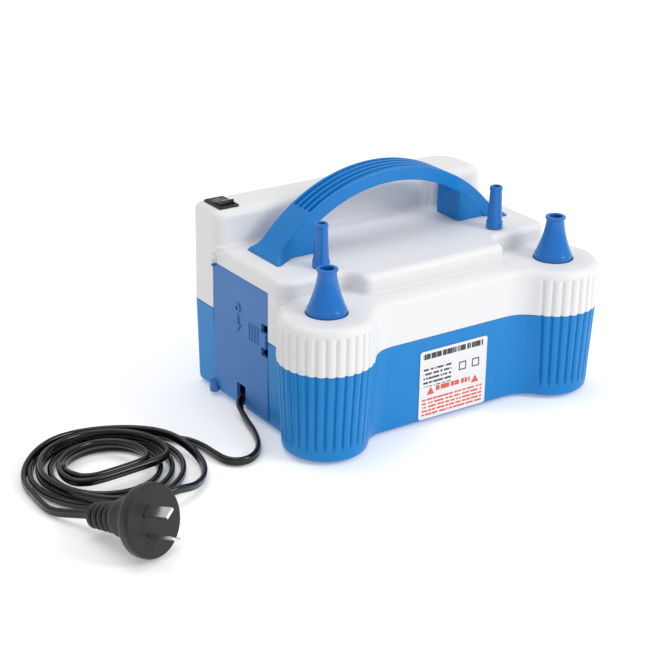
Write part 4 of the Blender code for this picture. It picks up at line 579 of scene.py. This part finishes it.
def tub_plan(z, inset=0.0, flutes=0.0):
    slope = 1.0 - z / parting_z
    return pump_plan(27.7 - 2.8 * slope, side_x - 1.1 * slope, rear_y - 1.1 * slope, inset, flutes)


def smooth_plan(column, side_wall, back_wall, inset):
    return pump_plan(column, side_wall, back_wall, inset, 0.0, ((0.0, 0.0), (0.5, 0.0)))


tub_rings = []
for depth in (0.0, 0.15, 0.5, 1.0, 1.8, 3.0):
    z = 1.2 + depth
    tub_rings.append(at_level(tub_plan(z, half_round(3.0, depth)), z))
for z, flutes in ((8.0, 0.0), (8.5, 0.4), (9.2, 0.8), (10.2, 1.15), (11.6, 1.4), (13.5, 1.5), (34.0, 1.5),
                  (54.9, 1.5)):
    tub_rings.append(at_level(tub_plan(z, 0.0, flutes), z))
tub_rings.append(at_level(tub_plan(55.2, 0.25, 1.45), 55.2))
tub = draw_up("bottom_shell_moulding", tub_rings)
tub_hollow = []
for z, inset in ((3.7, 4.05), (5.7, 3.05), (57.0, 3.05)):
    inner = smooth_plan(27.7 - 2.8 * (1 - z / parting_z), 97.8 + z * 0.0198, 74.1 + z * 0.0198, inset)
    tub_hollow.append(at_level(inner, z))
carve(tub, draw_up("tub_hollow", tub_hollow))


def door_gap():
    return bar_block("door_gap", (-104.8, -10.8, 5.3), (-92.9, 50.7, 85.9))


carve(tub, door_gap())
for x, y in ((-60.0, 66.0), (64.0, 66.0), (-30.0, -46.0), (30.0, -46.0)):
    boss = spin_up("screw_boss", [(0.0, 2.2), (4.5, 2.2), (4.5, 29.7), (0.0, 29.7)], 28, loop=False)
    put(boss, Matrix.Translation((x * 0.001, y * 0.001, 0.0)))
    carve(tub, boss, "UNION")
    hollow = [(0.0, 0.0), (3.5, 0.0), (3.5, 7.0), (1.8, 7.01), (1.8, 32.0), (0.0, 32.0)]
    well = spin_up("screw_well", hollow, 24, loop=False)
    put(well, Matrix.Translation((x * 0.001, y * 0.001, 0.0)))
    carve(tub, well)
for x, y in foot_places:
    seat = spin_up("foot_seat", [(0.0, -1.0), (6.3, -1.0), (6.3, 2.2), (0.0, 2.2)], 32, loop=False)
    put(seat, Matrix.Translation((x * 0.001, y * 0.001, 0.0)))
    carve(tub, seat)
for i in range(9):
    x = 18.0 + 5.6 * (i - 4)
    carve(tub, bar_block("intake_slot", (x - 1.3, 66.7, 24.0), (x + 1.3, 77.2, 48.0), 1.0, 3))
carve(tub, bar_block("cord_slot", (-101.0, 15.6, -0.8), (-88.0, 22.4, 9.0)))
saddle = bar_block("clamp_saddle", (-51.2, 8.0, 2.2), (-44.2, 30.0, 9.8))
carve(tub, saddle, "UNION")
knuckle_room = spin_up("knuckle_room", [(0.0, -1.0), (3.6, -1.0), (3.6, 8.9), (0.0, 8.9)], 32, loop=False)
put(knuckle_room, hinge_line)
carve(tub, knuckle_room)
smooth_skin(tub, 38.0)
shell_blue = moulded_plastic("shell blue", (0.001, 0.215, 0.575), (0.02, 0.25, 0.62), 0.36, 1500.0, 0.03)
tub.data.materials.append(shell_blue)
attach(tub, "housing")
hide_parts("bottom_shell")


# ------------------------------------------------------------------ top shell
# White moulded lid in three storeys: the columns and front ledge, the deck with its forward
# plateau, and the tower along the back. Every edge and inner corner is softly rounded.

def round_plan(corners, inset=0.0):
    """Plan through (x, y, radius, steps) corners taken anticlockwise, moved inwards by inset."""
    plan = []
    count = len(corners)
    for i, (x, y, radius, steps) in enumerate(corners):
        here = Vector((x, y))
        into = (here - Vector(corners[i - 1][:2])).normalized()
        out = (Vector(corners[(i + 1) % count][:2]) - here).normalized()
        turn = math.atan2(into.x * out.y - into.y * out.x, into.dot(out))
        bend = 1.0 if turn > 0 else -1.0
        left_in = Vector((-into.y, into.x))
        left_out = Vector((-out.y, out.x))
        diagonal = (left_in + left_out) / (1.0 + left_in.dot(left_out))
        arc = max(radius - bend * inset, 0.3)
        centre = here + diagonal * (inset + bend * arc)
        start = left_in * (-bend * arc)
        for k in range(steps + 1):
            angle = turn * k / steps
            plan.append((centre.x + start.x * math.cos(angle) - start.y * math.sin(angle),
                         centre.y + start.x * math.sin(angle) + start.y * math.cos(angle)))
    return plan


column_radius = 28.2
ledge_z = 83.5
deck_z = 95.5
tower_z = 117.0
lid_rings = [at_level(pump_plan(column_radius, side_x, rear_y, 0.3, 1.45), parting_z)]
for z, flutes in ((55.9, 1.5), (66.0, 1.5), (76.0, 1.5), (77.2, 1.4), (77.9, 1.15), (78.4, 0.75),
                  (78.75, 0.3), (79.0, 0.0)):
    lid_rings.append(at_level(pump_plan(column_radius, side_x, rear_y, 0.0, flutes), z))
for depth in (4.2, 3.4, 2.6, 1.9, 1.3, 0.8, 0.4, 0.15, 0.0):
    shoulder = pump_plan(column_radius, side_x, rear_y, half_round(5.0, depth), 0.0)
    lid_rings.append(at_level(shoulder, ledge_z - depth))
lid = draw_up("top_shell_moulding", lid_rings)


def deck_plan(flare, inset, wall=98.91):
    """The deck: a forward plateau between two notches, each behind a nozzle."""
    return round_plan(((-52.0 - flare, -40.2 - flare, 6.0, 9), (52.0 + flare, -40.2 - flare, 6.0, 9),
                       (52.0 + flare, -24.0 - flare, 7.0, 9), (wall, -24.0 - flare, 9.0, 9),
                       (wall, 75.21, rear_round, 9), (-wall, 75.21, rear_round, 9),
                       (-wall, -24.0 - flare, 9.0, 9), (-52.0 - flare, -24.0 - flare, 7.0, 9)), inset)


def foot_flare(radius, above):
    """How far a hollow fillet at a wall's foot stands out, at a height above the floor it meets."""
    return half_round(radius, max(above, 0.0))


deck_rings = [at_level(deck_plan(2.4, 0.0), 76.0)]
for above in (0.0, 0.2, 0.5, 0.9, 1.5, 2.4):
    deck_rings.append(at_level(deck_plan(foot_flare(2.4, above), 0.0), ledge_z + above))
for depth in (4.6, 3.9, 3.2, 2.5, 1.9, 1.35, 0.9, 0.5, 0.2, 0.0):
    deck_rings.append(at_level(deck_plan(0.0, half_round(4.6, depth)), deck_z - depth))
carve(lid, draw_up("deck", deck_rings), "UNION")


def tower_plan(flare, left, right, tilt):
    """The tower: its right end reaches further forward and is rounded more than the left."""
    near = 43.5 - flare + tilt
    bulge = 34.6 - flare + tilt
    return round_plan(((-98.93 + left, near + left, max(8.0 - left, 0.8), 9),
                       (52.0 - flare + left + tilt, near + left, 4.0 + left, 7),
                       (52.0 - flare + left + tilt, bulge + left, max(7.0 - left, 0.8), 9),
                       (98.93 - right, bulge + left, max(15.0 - right, 0.8), 11),
                       (98.93 - right, 75.23 - left, max(22.0 - right, 0.8), 13),
                       (-98.93 + left, 75.23 - left, max(rear_round - left, 0.8), 11)))


tower_rings = [at_level(tower_plan(3.0, 0.0, 0.0, 0.0), 88.0)]
for above in (0.0, 0.25, 0.6, 1.1, 1.9, 3.0):
    tower_rings.append(at_level(tower_plan(foot_flare(3.0, above), 0.0, 0.0, above * 0.09), deck_z + above))
for depth in (12.0, 10.4, 8.9, 7.5, 6.2, 5.2, 4.2, 3.3, 2.5, 1.8, 1.2, 0.7, 0.3, 0.1, 0.0):
    tower_rings.append(at_level(tower_plan(0.0, half_round(5.2, depth), half_round(12.0, depth),
                                           (tower_z - deck_z - depth) * 0.09), tower_z - depth))
carve(lid, draw_up("tower", tower_rings), "UNION")

plan = smooth_plan(column_radius, side_x, rear_y, 3.05)
carve(lid, draw_up("lid_hollow", [at_level(plan, 53.0), at_level(plan, 81.0)]))
plan = deck_plan(0.0, 2.8)
carve(lid, draw_up("deck_hollow", [at_level(plan, 75.5), at_level(plan, 93.0)]))
tower_room = []
for inset, slack, tilt, z in ((3.0, 3.0, 0.6, 89.5), (3.0, 3.0, 1.0, 105.0), (4.5, 9.0, 1.4, 114.4)):
    tower_room.append(at_level(tower_plan(0.0, inset, slack, tilt), z))
carve(lid, draw_up("tower_hollow", tower_room))
carve(lid, door_gap())

for side in (-1, 1):
    peg = [(0.0, 94.0), (2.6, 94.0), (2.6, 106.5), (2.3, 107.2), (1.6, 107.5), (0.0, 107.5)]
    post = spin_up("spare_post", peg, 28, loop=False)
    put(post, Matrix.Translation((side * 0.0641, -0.0129, 0.0)))
    carve(lid, post, "UNION")
    mouth = [(0.0, 79.0), (13.2, 79.0), (13.2, 82.35), (12.1, 82.45), (12.1, 82.95), (12.3, 83.3),
             (12.7, 83.6), (13.3, 84.6), (0.0, 84.6)]
    hole = spin_up("nozzle_hole", mouth, 72, loop=False)
    put(hole, Matrix.Translation((side * 0.083, -0.047, 0.0)))
    carve(lid, hole)
lug = bar_block("hinge_lug", (-102.5, 46.1, 85.9), (-97.0, 51.9, 90.5), 0.9, 3)
carve(lid, lug, "UNION")
carve(lid, bar_block("switch_opening", (-93.3, 50.6, 99.0), (-81.1, 68.6, 119.0)))
pivot_hole = spin_up("pivot_hole", [(0.0, 85.6), (1.5, 85.6), (1.5, 89.3), (0.0, 89.3)], 24, loop=False)
put(pivot_hole, hinge_line)
carve(lid, pivot_hole)
smooth_skin(lid, 38.0)
shell_white = moulded_plastic("shell white", (0.79, 0.79, 0.795), (0.74, 0.74, 0.75), 0.40, 1500.0, 0.03)
lid.data.materials.append(shell_white)
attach(lid, "housing")
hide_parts("top_shell")


# ------------------------------------------------------------------ carry handle
# One blue moulding screwed up through the deck: a wide arched band with four finger grooves along
# its top, a flat panel at each end that flares into a lip, and a boxed leg under each end.

def band_section(angle, groove, height):
    """The band's outline where its outer face stands at an angle round the arch."""
    outward = Vector((math.cos(angle), 0.0, math.sin(angle)))
    flare = max(0.0, 1.0 - max(height, 0.0) / 10.0) ** 2.6
    front = -11.25 - 7.7 * flare
    rear = 11.25 + 4.0 * flare
    outer = 100.8 + 2.4 * flare
    inner = 92.3 + 1.2 * flare
    profile = []
    for k in range(5):
        turn = math.pi / 2 * k / 4
        profile.append((front + 1.0 - 1.0 * math.sin(turn), inner + 1.0 - 1.0 * math.cos(turn)))
    for k in range(5):
        turn = math.pi / 2 * k / 4
        profile.append((front + 1.2 - 1.2 * math.cos(turn), outer - 1.2 + 1.2 * math.sin(turn)))
    for i in range(4):
        middle = 4.9 * (i - 1.5)
        for shift, depth in ((-1.7, 0.0), (-1.5, 0.1), (-1.35, 0.6), (-1.1, 1.0), (1.1, 1.0), (1.35, 0.6),
                             (1.5, 0.1), (1.7, 0.0)):
            profile.append((middle + shift, outer - depth * groove))
    for k in range(5):
        turn = math.pi / 2 * k / 4
        profile.append((rear - 1.2 + 1.2 * math.sin(turn), outer - 1.2 + 1.2 * math.cos(turn)))
    for k in range(5):
        turn = math.pi / 2 * k / 4
        profile.append((rear - 1.0 + 1.0 * math.cos(turn), inner + 1.0 - 1.0 * math.sin(turn)))
    middle = Vector((0.0, 18.75, 37.8))
    return [tuple(middle + outward * radius + Vector((0.0, y, 0.0))) for y, radius in profile]


arch = []
foot = math.asin((94.0 - 37.8) / 100.8)
for share in range(15):
    arch.append((foot + (math.radians(55.6) - foot) * (share / 14) ** 1.35, 0.0))
arch += [(math.radians(55.8), 1.1), (math.radians(56.0), 1.7)]
arch += [(math.radians(56.0 + 68.0 * k / 44), 1.7) for k in range(1, 44)]
arch += [(math.pi - angle, groove) for angle, groove in reversed(arch[:17])]
band = draw_up("carry_handle", [band_section(a, g, 37.8 + 100.8 * math.sin(a) - 95.8) for a, g in arch])


def leg(side, near, far, half, radius):
    outline = [(side * near, 94.0), (side * far, 94.0)]
    for k in range(9):
        x = far + (near - far) * k / 8
        outline.append((side * x, 37.8 + math.sqrt(radius ** 2 - x ** 2)))
    return draw_up("handle_leg", [[(x, y, z) for x, z in outline] for y in (18.75 - half, 18.75 + half)])


for side in (-1, 1):
    carve(band, leg(side, 52.5, 74.0, 11.05, 96.0), "UNION")
carve(band, bar_block("deck_plane", (-130.0, -30.0, 70.0), (130.0, 70.0, 95.8)))
for side in (-1, 1):
    hole = spin_up("screw_hole", [(0.0, 90.0), (1.8, 90.0), (1.8, 105.5), (0.0, 106.5)], 20, loop=False)
    put(hole, Matrix.Translation((side * 0.0578, 0.01875, 0.0)))
    carve(band, hole)
smooth_skin(band, 30.0)
handle_blue = moulded_plastic("handle blue", (0.002, 0.195, 0.565), (0.06, 0.27, 0.62), 0.31, 1200.0, 0.04)
band.data.materials.append(handle_blue)
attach(band, "housing")
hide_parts("handle")


# ------------------------------------------------------------------ nozzles
# Glossy blue cones that push on over a spigot. The large pair has a straight collar, a bell curve
# and a rolled rim; the small spare pair stands on posts of the deck.

large_profile = [(11.0, 0.0), (11.35, 0.12), (11.5, 0.5), (11.5, 3.2), (11.42, 3.6), (11.2, 4.0)]
for k in range(1, 22):
    share = k / 22
    large_profile.append((5.45 + 5.7 * (1.0 - share) ** 1.6, 4.0 + 21.4 * share))
large_profile += [(5.45, 25.3), (5.6, 25.55), (6.0, 25.75), (6.2, 26.1), (6.2, 26.75), (6.05, 27.15),
                  (5.6, 27.4), (4.45, 27.4), (4.15, 27.2), (4.0, 26.8), (3.9, 18.4), (5.0, 13.3), (7.7, 9.4),
                  (7.8, 8.6), (7.8, 0.0)]
small_profile = [(4.9, 0.0), (5.1, 0.12), (5.2, 0.4), (5.15, 3.8), (5.0, 4.3), (4.75, 4.6), (4.6, 5.2),
                 (4.1, 14.0), (3.72, 23.2), (3.75, 23.9), (3.95, 24.3), (4.0, 25.0), (4.0, 25.7),
                 (3.85, 26.3), (3.4, 26.6), (2.65, 26.6), (2.4, 26.3), (2.35, 25.6), (2.35, 14.0),
                 (2.9, 13.0), (2.9, 0.0)]
nozzle_blue = moulded_plastic("nozzle blue", (0.0, 0.15, 0.53), (0.01, 0.20, 0.60), 0.20, 900.0, 0.02, 0.35)
for name, side in (("left", -1), ("right", 1)):
    cone = spin_up("blow_nozzle_" + name, large_profile, 72)
    put(cone, Matrix.Translation((side * 0.083, -0.047, 0.0825)))
    smooth_skin(cone, 40.0)
    cone.data.materials.append(nozzle_blue)
    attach(cone, "blow_nozzle_" + name)
    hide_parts("nozzle_" + name)
    spare = spin_up("small_nozzle_" + name, small_profile, 56)
    put(spare, Matrix.Translation((side * 0.0641, -0.0129, 0.0958)))
    smooth_skin(spare, 40.0)
    spare.data.materials.append(nozzle_blue)
    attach(spare, "spare_" + name)
    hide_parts("spare_nozzle_" + name)


# ------------------------------------------------------------------ storage door
# Blue panel on a vertical hinge pin at its rear edge. A springy hook at its front edge snaps into
# the wall, with grip ribs beside it; a raised arrow shows the way to pull, and a notch lets the
# cord out.

door = bar_block("storage_door_panel", (-98.8, -10.5, 5.6), (-96.6, 50.4, 85.6), 0.35, 2)
carve(door, bar_block("latch_notch", (-101.0, -12.0, 45.0), (-94.0, -3.5, 65.0)))
carve(door, bar_block("cord_notch", (-101.0, 14.2, 3.0), (-94.0, 23.8, 17.3), 0.6, 3))
carve(door, bar_block("latch_tab", (-99.4, -9.4, 50.2), (-97.0, -2.4, 59.8), 0.5, 2), "UNION")
carve(door, bar_block("latch_lip", (-100.0, -9.4, 51.2), (-99.0, -7.4, 58.8), 0.35, 2), "UNION")
carve(door, bar_block("bottom_arm", (-100.1, 47.4, 4.1), (-96.8, 50.0, 8.2), 0.3, 2), "UNION")
for i in range(4):
    y = 0.6 + 3.1 * i
    carve(door, bar_block("grip_rib", (-99.4, y - 0.7, 49.5), (-97.6, y + 0.7, 61.0), 0.55, 3), "UNION")
arrow = [(21.4, 60.4), (23.6, 60.4), (23.6, 55.6), (26.0, 55.6), (22.5, 50.6), (19.0, 55.6), (21.4, 55.6)]
carve(door, draw_up("arrow", [[(x, y, z) for y, z in arrow] for x in (-98.3, -99.5)]), "UNION")
ring = spin_up("raised_ring", [(1.5, 0.0), (3.0, 0.0), (3.0, 1.2), (1.5, 1.2)], 32)
put(ring, Matrix.Translation((-0.0983, 0.0225, 0.0655)) @ Matrix.Rotation(math.radians(-90.0), 4, "Y"))
carve(door, ring, "UNION")
barrel = [(0.0, 1.7), (2.5, 1.7), (3.0, 2.2), (3.0, 8.1), (2.5, 8.6), (0.0, 8.6)]
knuckle = spin_up("knuckle", barrel, 40, loop=False)
put(knuckle, hinge_line)
carve(door, knuckle, "UNION")
carve(door, bar_block("top_arm", (-100.6, 48.0, 83.4), (-96.9, 50.0, 85.4), 0.3, 2), "UNION")
pin = spin_up("hinge_pin", [(0.0, 83.6), (1.2, 83.6), (1.2, 88.4), (0.9, 88.7), (0.0, 88.7)], 28, loop=False)
put(pin, hinge_line)
carve(door, pin, "UNION")
for z in (26.0, 70.0):
    carve(door, bar_block("stiffener", (-96.9, -6.0, z), (-95.9, 44.0, z + 1.4), 0.2, 1), "UNION")
smooth_skin(door, 30.0)
# The door's blue is lighter and milkier than the shell blue: painted sheen, standing in for the reflection
# of the white surroundings on the shaded left side.
door_blue_painted_sheen = moulded_plastic("door blue painted sheen", (0.045, 0.185, 0.500), (0.09, 0.24, 0.55), 0.42, 1700.0, 0.05)
door.data.materials.append(door_blue_painted_sheen)
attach(door, "door")
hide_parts("storage_door")


# ------------------------------------------------------------------ rocker switch
# Bought-in black rocker in a thin bezel, pushed into the tower's top until it clips. The rocker is
# hollowed on top and carries a pale bar at one end and a ring at the other.

bezel_corners = ((-94.0, 50.0, 1.0, 4), (-80.4, 50.0, 1.0, 4), (-80.4, 69.2, 1.0, 4), (-94.0, 69.2, 1.0, 4))
bezel_rings = []
for inset, z in ((0.0, 117.3), (0.0, 117.8), (0.15, 118.1), (0.45, 118.4), (0.9, 118.6)):
    bezel_rings.append(at_level(round_plan(bezel_corners, inset), z))
bezel = draw_up("switch_bezel", bezel_rings)
carve(bezel, bar_block("switch_box", (-93.0, 50.9, 101.3), (-81.4, 68.3, 117.8)), "UNION")
carve(bezel, bar_block("switch_well", (-92.3, 51.5, 109.8), (-82.1, 67.7, 121.0), 0.4, 2))
smooth_skin(bezel, 30.0)
switch_black = moulded_plastic("switch black", (0.014, 0.014, 0.015), (0.06, 0.06, 0.06), 0.34, 1300.0, 0.03)
bezel.data.materials.append(switch_black)
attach(bezel, "housing")
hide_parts("rocker_switch_frame")

rocker_side = [(-7.3, 1.6), (-6.3, -2.4), (0.0, -4.4), (6.3, -2.4), (7.3, 1.6), (7.25, 3.3), (7.0, 3.6),
               (6.6, 3.7)]
rocker_side += [(6.6 - 13.2 * k / 16, 2.7 + 1.0 * (1.0 - 2.0 * k / 16) ** 2) for k in range(1, 16)]
rocker_side += [(-6.6, 3.7), (-7.0, 3.6), (-7.25, 3.3)]
rocker = draw_up("rocker", [[(x, y, z) for y, z in rocker_side] for x in (-4.8, -4.55, 4.55, 4.8)])
for vert in rocker.data.vertices:
    if abs(vert.co.x) > 0.0047:
        vert.co.y *= 0.97
        vert.co.z = vert.co.z * 0.97
on_axis = Matrix.Translation((-0.0872, 0.0596, 0.1163)) @ Matrix.Rotation(math.radians(-10.0), 4, "X")
put(rocker, on_axis)
smooth_skin(rocker, 30.0)
rocker_tones = ((0.016, 0.016, 0.017), (0.07, 0.07, 0.07))
rocker_black = moulded_plastic("rocker black", *rocker_tones, 0.26, 1300.0, 0.02, 0.2)
rocker.data.materials.append(rocker_black)
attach(rocker, "rocker")
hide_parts("switch_rocker")

pad_print = moulded_plastic("pale pad print", (0.62, 0.62, 0.60), (0.4, 0.4, 0.4), 0.5, 1500.0, 0.01)
bar_mark = bar_block("rocker_bar", (-1.9, 4.35, 3.0), (1.9, 4.95, 3.22), 0.05, 1)
ring_mark = spin_up("rocker_ring", [(1.0, 3.0), (1.5, 3.0), (1.5, 3.22), (1.0, 3.22)], 36)
put(ring_mark, Matrix.Translation((0.0, -0.0046, 0.0)))
for mark in (bar_mark, ring_mark):
    put(mark, on_axis)
    smooth_skin(mark)
    mark.data.materials.append(pad_print)
    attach(mark, "rocker")


# ------------------------------------------------------------------ rating label
# A white film label on the front wall. Its print is plain: a row of black blocks, rows of small ones
# beside two open squares, and a red head between two triangles over rows of red dashes.

sheet_corners = ((-21.7, 3.3, 1.6, 6), (28.1, 3.3, 1.6, 6), (28.1, 47.0, 1.6, 6), (-21.7, 47.0, 1.6, 6))
sheet_plan = round_plan(sheet_corners)
label = draw_up("front_label", [[(x, y, z) for x, z in sheet_plan] for y in (-54.45, -54.9)])
smooth_skin(label, 30.0)


def printed_film():
    """White film with rows of bars in place of print, laid out on the label's own x and z."""
    film = bpy.data.materials.new("printed film")
    film.use_nodes = True
    nodes = film.node_tree.nodes
    links = film.node_tree.links
    shader = nodes["Principled BSDF"]
    shader.inputs["Roughness"].default_value = 0.33
    axes = nodes.new("ShaderNodeSeparateXYZ")
    links.new(object_space(nodes), axes.inputs["Vector"])

    def sums(operation, first, second=None, third=None):
        node = nodes.new("ShaderNodeMath")
        node.operation = operation
        for socket, value in zip(node.inputs, (first, second, third)):
            if isinstance(value, (int, float)):
                socket.default_value = value
            elif value is not None:
                links.new(value, socket)
        return node.outputs["Value"]

    def band_between(value, low, high):
        return sums("MULTIPLY", sums("GREATER_THAN", value, low), sums("LESS_THAN", value, high))

    def rows(pitch, fill, word, seed):
        """Dashes of uneven length in rows: one where there is ink."""
        count = sums("DIVIDE", axes.outputs["Z"], pitch)
        in_row = band_between(sums("FRACT", count), 0.5 - fill / 2, 0.5 + fill / 2)
        place = nodes.new("ShaderNodeCombineXYZ")
        links.new(sums("MULTIPLY", axes.outputs["X"], 1.0 / word), place.inputs["X"])
        links.new(sums("MULTIPLY", sums("FLOOR", count), 7.31), place.inputs["Y"])
        place.inputs["Z"].default_value = seed
        words = nodes.new("ShaderNodeTexNoise")
        words.inputs["Scale"].default_value = 1.0
        words.inputs["Detail"].default_value = 1.0
        links.new(place.outputs["Vector"], words.inputs["Vector"])
        return sums("MULTIPLY", in_row, sums("GREATER_THAN", words.outputs["Fac"], 0.42))

    wide = band_between(axes.outputs["X"], -0.0195, 0.0255)
    title = sums("MULTIPLY", rows(0.0058, 0.62, 0.0013, 3.0),
                 band_between(axes.outputs["Z"], 0.0412, 0.0458))
    facts = sums("MULTIPLY", rows(0.0028, 0.46, 0.0015, 5.0),
                 sums("MULTIPLY", band_between(axes.outputs["Z"], 0.0238, 0.0372),
                      band_between(axes.outputs["X"], -0.0190, 0.0015)))
    signs = sums("MULTIPLY", band_between(axes.outputs["Z"], 0.0290, 0.0345),
                 sums("MAXIMUM", band_between(axes.outputs["X"], 0.0072, 0.0127),
                      band_between(axes.outputs["X"], 0.0170, 0.0225)))
    holes = sums("MULTIPLY", band_between(axes.outputs["Z"], 0.0298, 0.0337),
                 sums("MAXIMUM", band_between(axes.outputs["X"], 0.0080, 0.0119),
                      band_between(axes.outputs["X"], 0.0178, 0.0217)))
    signs = sums("SUBTRACT", signs, holes)
    black = sums("MULTIPLY", sums("MAXIMUM", sums("MAXIMUM", title, facts), signs), wide)
    head = sums("MULTIPLY", rows(0.0062, 0.5, 0.0019, 9.0),
                sums("MULTIPLY", band_between(axes.outputs["Z"], 0.0182, 0.0240),
                     band_between(axes.outputs["X"], -0.0095, 0.0160)))
    tall = sums("SUBTRACT", axes.outputs["Z"], 0.0186)
    aside = sums("ABSOLUTE", sums("SUBTRACT", axes.outputs["X"], 0.0032))
    beside = sums("ABSOLUTE", sums("SUBTRACT", aside, 0.0166))
    lean_in = sums("SUBTRACT", 0.0029, sums("MULTIPLY", tall, 0.58))
    warning = sums("MULTIPLY", band_between(tall, 0.0, 0.0050), sums("LESS_THAN", beside, lean_in))
    small = sums("MULTIPLY", rows(0.0024, 0.5, 0.0016, 2.0), band_between(axes.outputs["Z"], 0.0048, 0.0168))
    red = sums("MULTIPLY", sums("MAXIMUM", sums("MAXIMUM", head, warning), small), wide)
    first = nodes.new("ShaderNodeMix")
    first.data_type = "RGBA"
    first.inputs["A"].default_value = (0.80, 0.80, 0.80, 1.0)
    first.inputs["B"].default_value = (0.035, 0.035, 0.04, 1.0)
    links.new(black, first.inputs["Factor"])
    second = nodes.new("ShaderNodeMix")
    second.data_type = "RGBA"
    second.inputs["B"].default_value = (0.72, 0.09, 0.05, 1.0)
    links.new(first.outputs["Result"], second.inputs["A"])
    links.new(red, second.inputs["Factor"])
    links.new(second.outputs["Result"], shader.inputs["Base Color"])
    return film


label.data.materials.append(printed_film())
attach(label, "housing")
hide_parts("rating_label")


# ------------------------------------------------------------------ strain relief
# Black soft PVC sleeve on the lead where it enters the storage compartment, ribbed and tapered.

relief_profile = [(0.0, 0.0), (2.8, 0.0), (2.8, 6.1), (4.6, 6.2), (4.6, 9.0)]
for i in range(5):
    foot = 9.6 + i * 3.6
    crest = 4.3 - 0.24 * i
    relief_profile += [(crest - 0.9, foot), (crest - 0.9, foot + 0.7), (crest, foot + 1.0),
                       (crest, foot + 2.6), (crest - 0.9, foot + 2.9)]
relief_profile += [(3.0, 29.0), (2.8, 30.2), (0.0, 30.2)]
relief = spin_up("lead_strain_relief", relief_profile, 40, loop=False)
put(relief, Matrix.Translation((-0.0501, 0.019, 0.0128)) @ Matrix.Rotation(math.radians(-90.0), 4, "Y"))
smooth_skin(relief, 30.0)
relief.data.materials.append(plug_black)
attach(relief, "housing")
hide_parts("cord_strain_relief")


# ------------------------------------------------------------------ rubber feet
# Four soft black pads pressed into round seats under the tub.

foot_rubber = moulded_plastic("foot rubber", (0.020, 0.020, 0.020), (0.07, 0.07, 0.07), 0.75, 1100.0, 0.08)
pad_profile = [(0.0, 0.0), (3.4, 0.0), (3.6, 0.2), (4.0, 0.2), (4.2, 0.0), (5.3, 0.0), (5.7, 0.15),
               (6.0, 0.6), (6.0, 1.9), (0.0, 1.9)]
for i, (x, y) in enumerate(foot_places):
    pad = spin_up(f"foot_pad_{i + 1}", pad_profile, 48, loop=False)
    put(pad, Matrix.Translation((x * 0.001, y * 0.001, 0.0)))
    smooth_skin(pad, 30.0)
    pad.data.materials.append(foot_rubber)
    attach(pad, "housing")
    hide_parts(f"rubber_foot_{i + 1}")


# ------------------------------------------------------------------ inside the body
# Compartment, valves, ducts, motor and fan keep their plain shapes and take finishes of their own.

def give(finish, *names):
    for name in names:
        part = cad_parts[name]
        part.data.materials.clear()
        part.data.materials.append(finish)


store_blue = moulded_plastic("compartment blue", (0.006, 0.15, 0.57), (0.04, 0.2, 0.6), 0.48, 1500.0, 0.04)
give(store_blue, "cord_compartment")
clamp_white = moulded_plastic("clamp white", (0.72, 0.72, 0.70), (0.6, 0.6, 0.58), 0.5, 1300.0, 0.03)
give(clamp_white, "cord_clamp_bar")
duct_grey = moulded_plastic("duct grey", (0.16, 0.16, 0.165), (0.26, 0.26, 0.26), 0.5, 1300.0, 0.05)
give(duct_grey, "nozzle_sleeve_left", "nozzle_sleeve_right", "valve_body_left", "valve_body_right",
     "air_duct_left", "air_duct_right", "motor_housing", "fan_diffuser", "fan_cover")
give(switch_black, "microswitch_left", "microswitch_right")
give(foot_rubber, "motor_cradle")
bright_steel = worked_metal("plated steel", (0.56, 0.56, 0.57), (0.35, 0.33, 0.30), 0.28, 1700.0, 0.02)
give(bright_steel, *[f"housing_screw_{i}" for i in range(1, 5)], "handle_screw_left", "handle_screw_right",
     "cord_clamp_screw", "sleeve_spring_left", "sleeve_spring_right", "microswitch_lever_left",
     "microswitch_lever_right", "motor_shaft", "front_bearing", "rear_bearing")
core = worked_metal("core sheet stack", (0.27, 0.27, 0.28), (0.16, 0.11, 0.08), 0.45, 2200.0, 0.06, 0.8)
give(core, "armature", "field_core")
copper = worked_metal("winding copper", (0.62, 0.24, 0.1), (0.32, 0.12, 0.05), 0.32, 2600.0, 0.1, 0.9)
give(copper, "field_coils", "commutator")
brush_brass = worked_metal("brush brass", (0.70, 0.52, 0.24), (0.45, 0.32, 0.14), 0.32, 1600.0, 0.02)
give(brush_brass, "brush_yoke")
fan_alloy = worked_metal("fan alloy", (0.60, 0.60, 0.61), (0.42, 0.42, 0.43), 0.38, 1800.0, 0.03)
give(fan_alloy, "impeller")
brush_carbon = moulded_plastic("brush carbon", (0.022, 0.022, 0.023), (0.09, 0.09, 0.09), 0.6, 2400.0, 0.04)
give(brush_carbon, "carbon_brush_upper", "carbon_brush_lower")
wire_red = moulded_plastic("wire red", (0.30, 0.025, 0.018), (0.4, 0.08, 0.06), 0.42, 900.0, 0.03)
give(wire_red, "switch_lead")
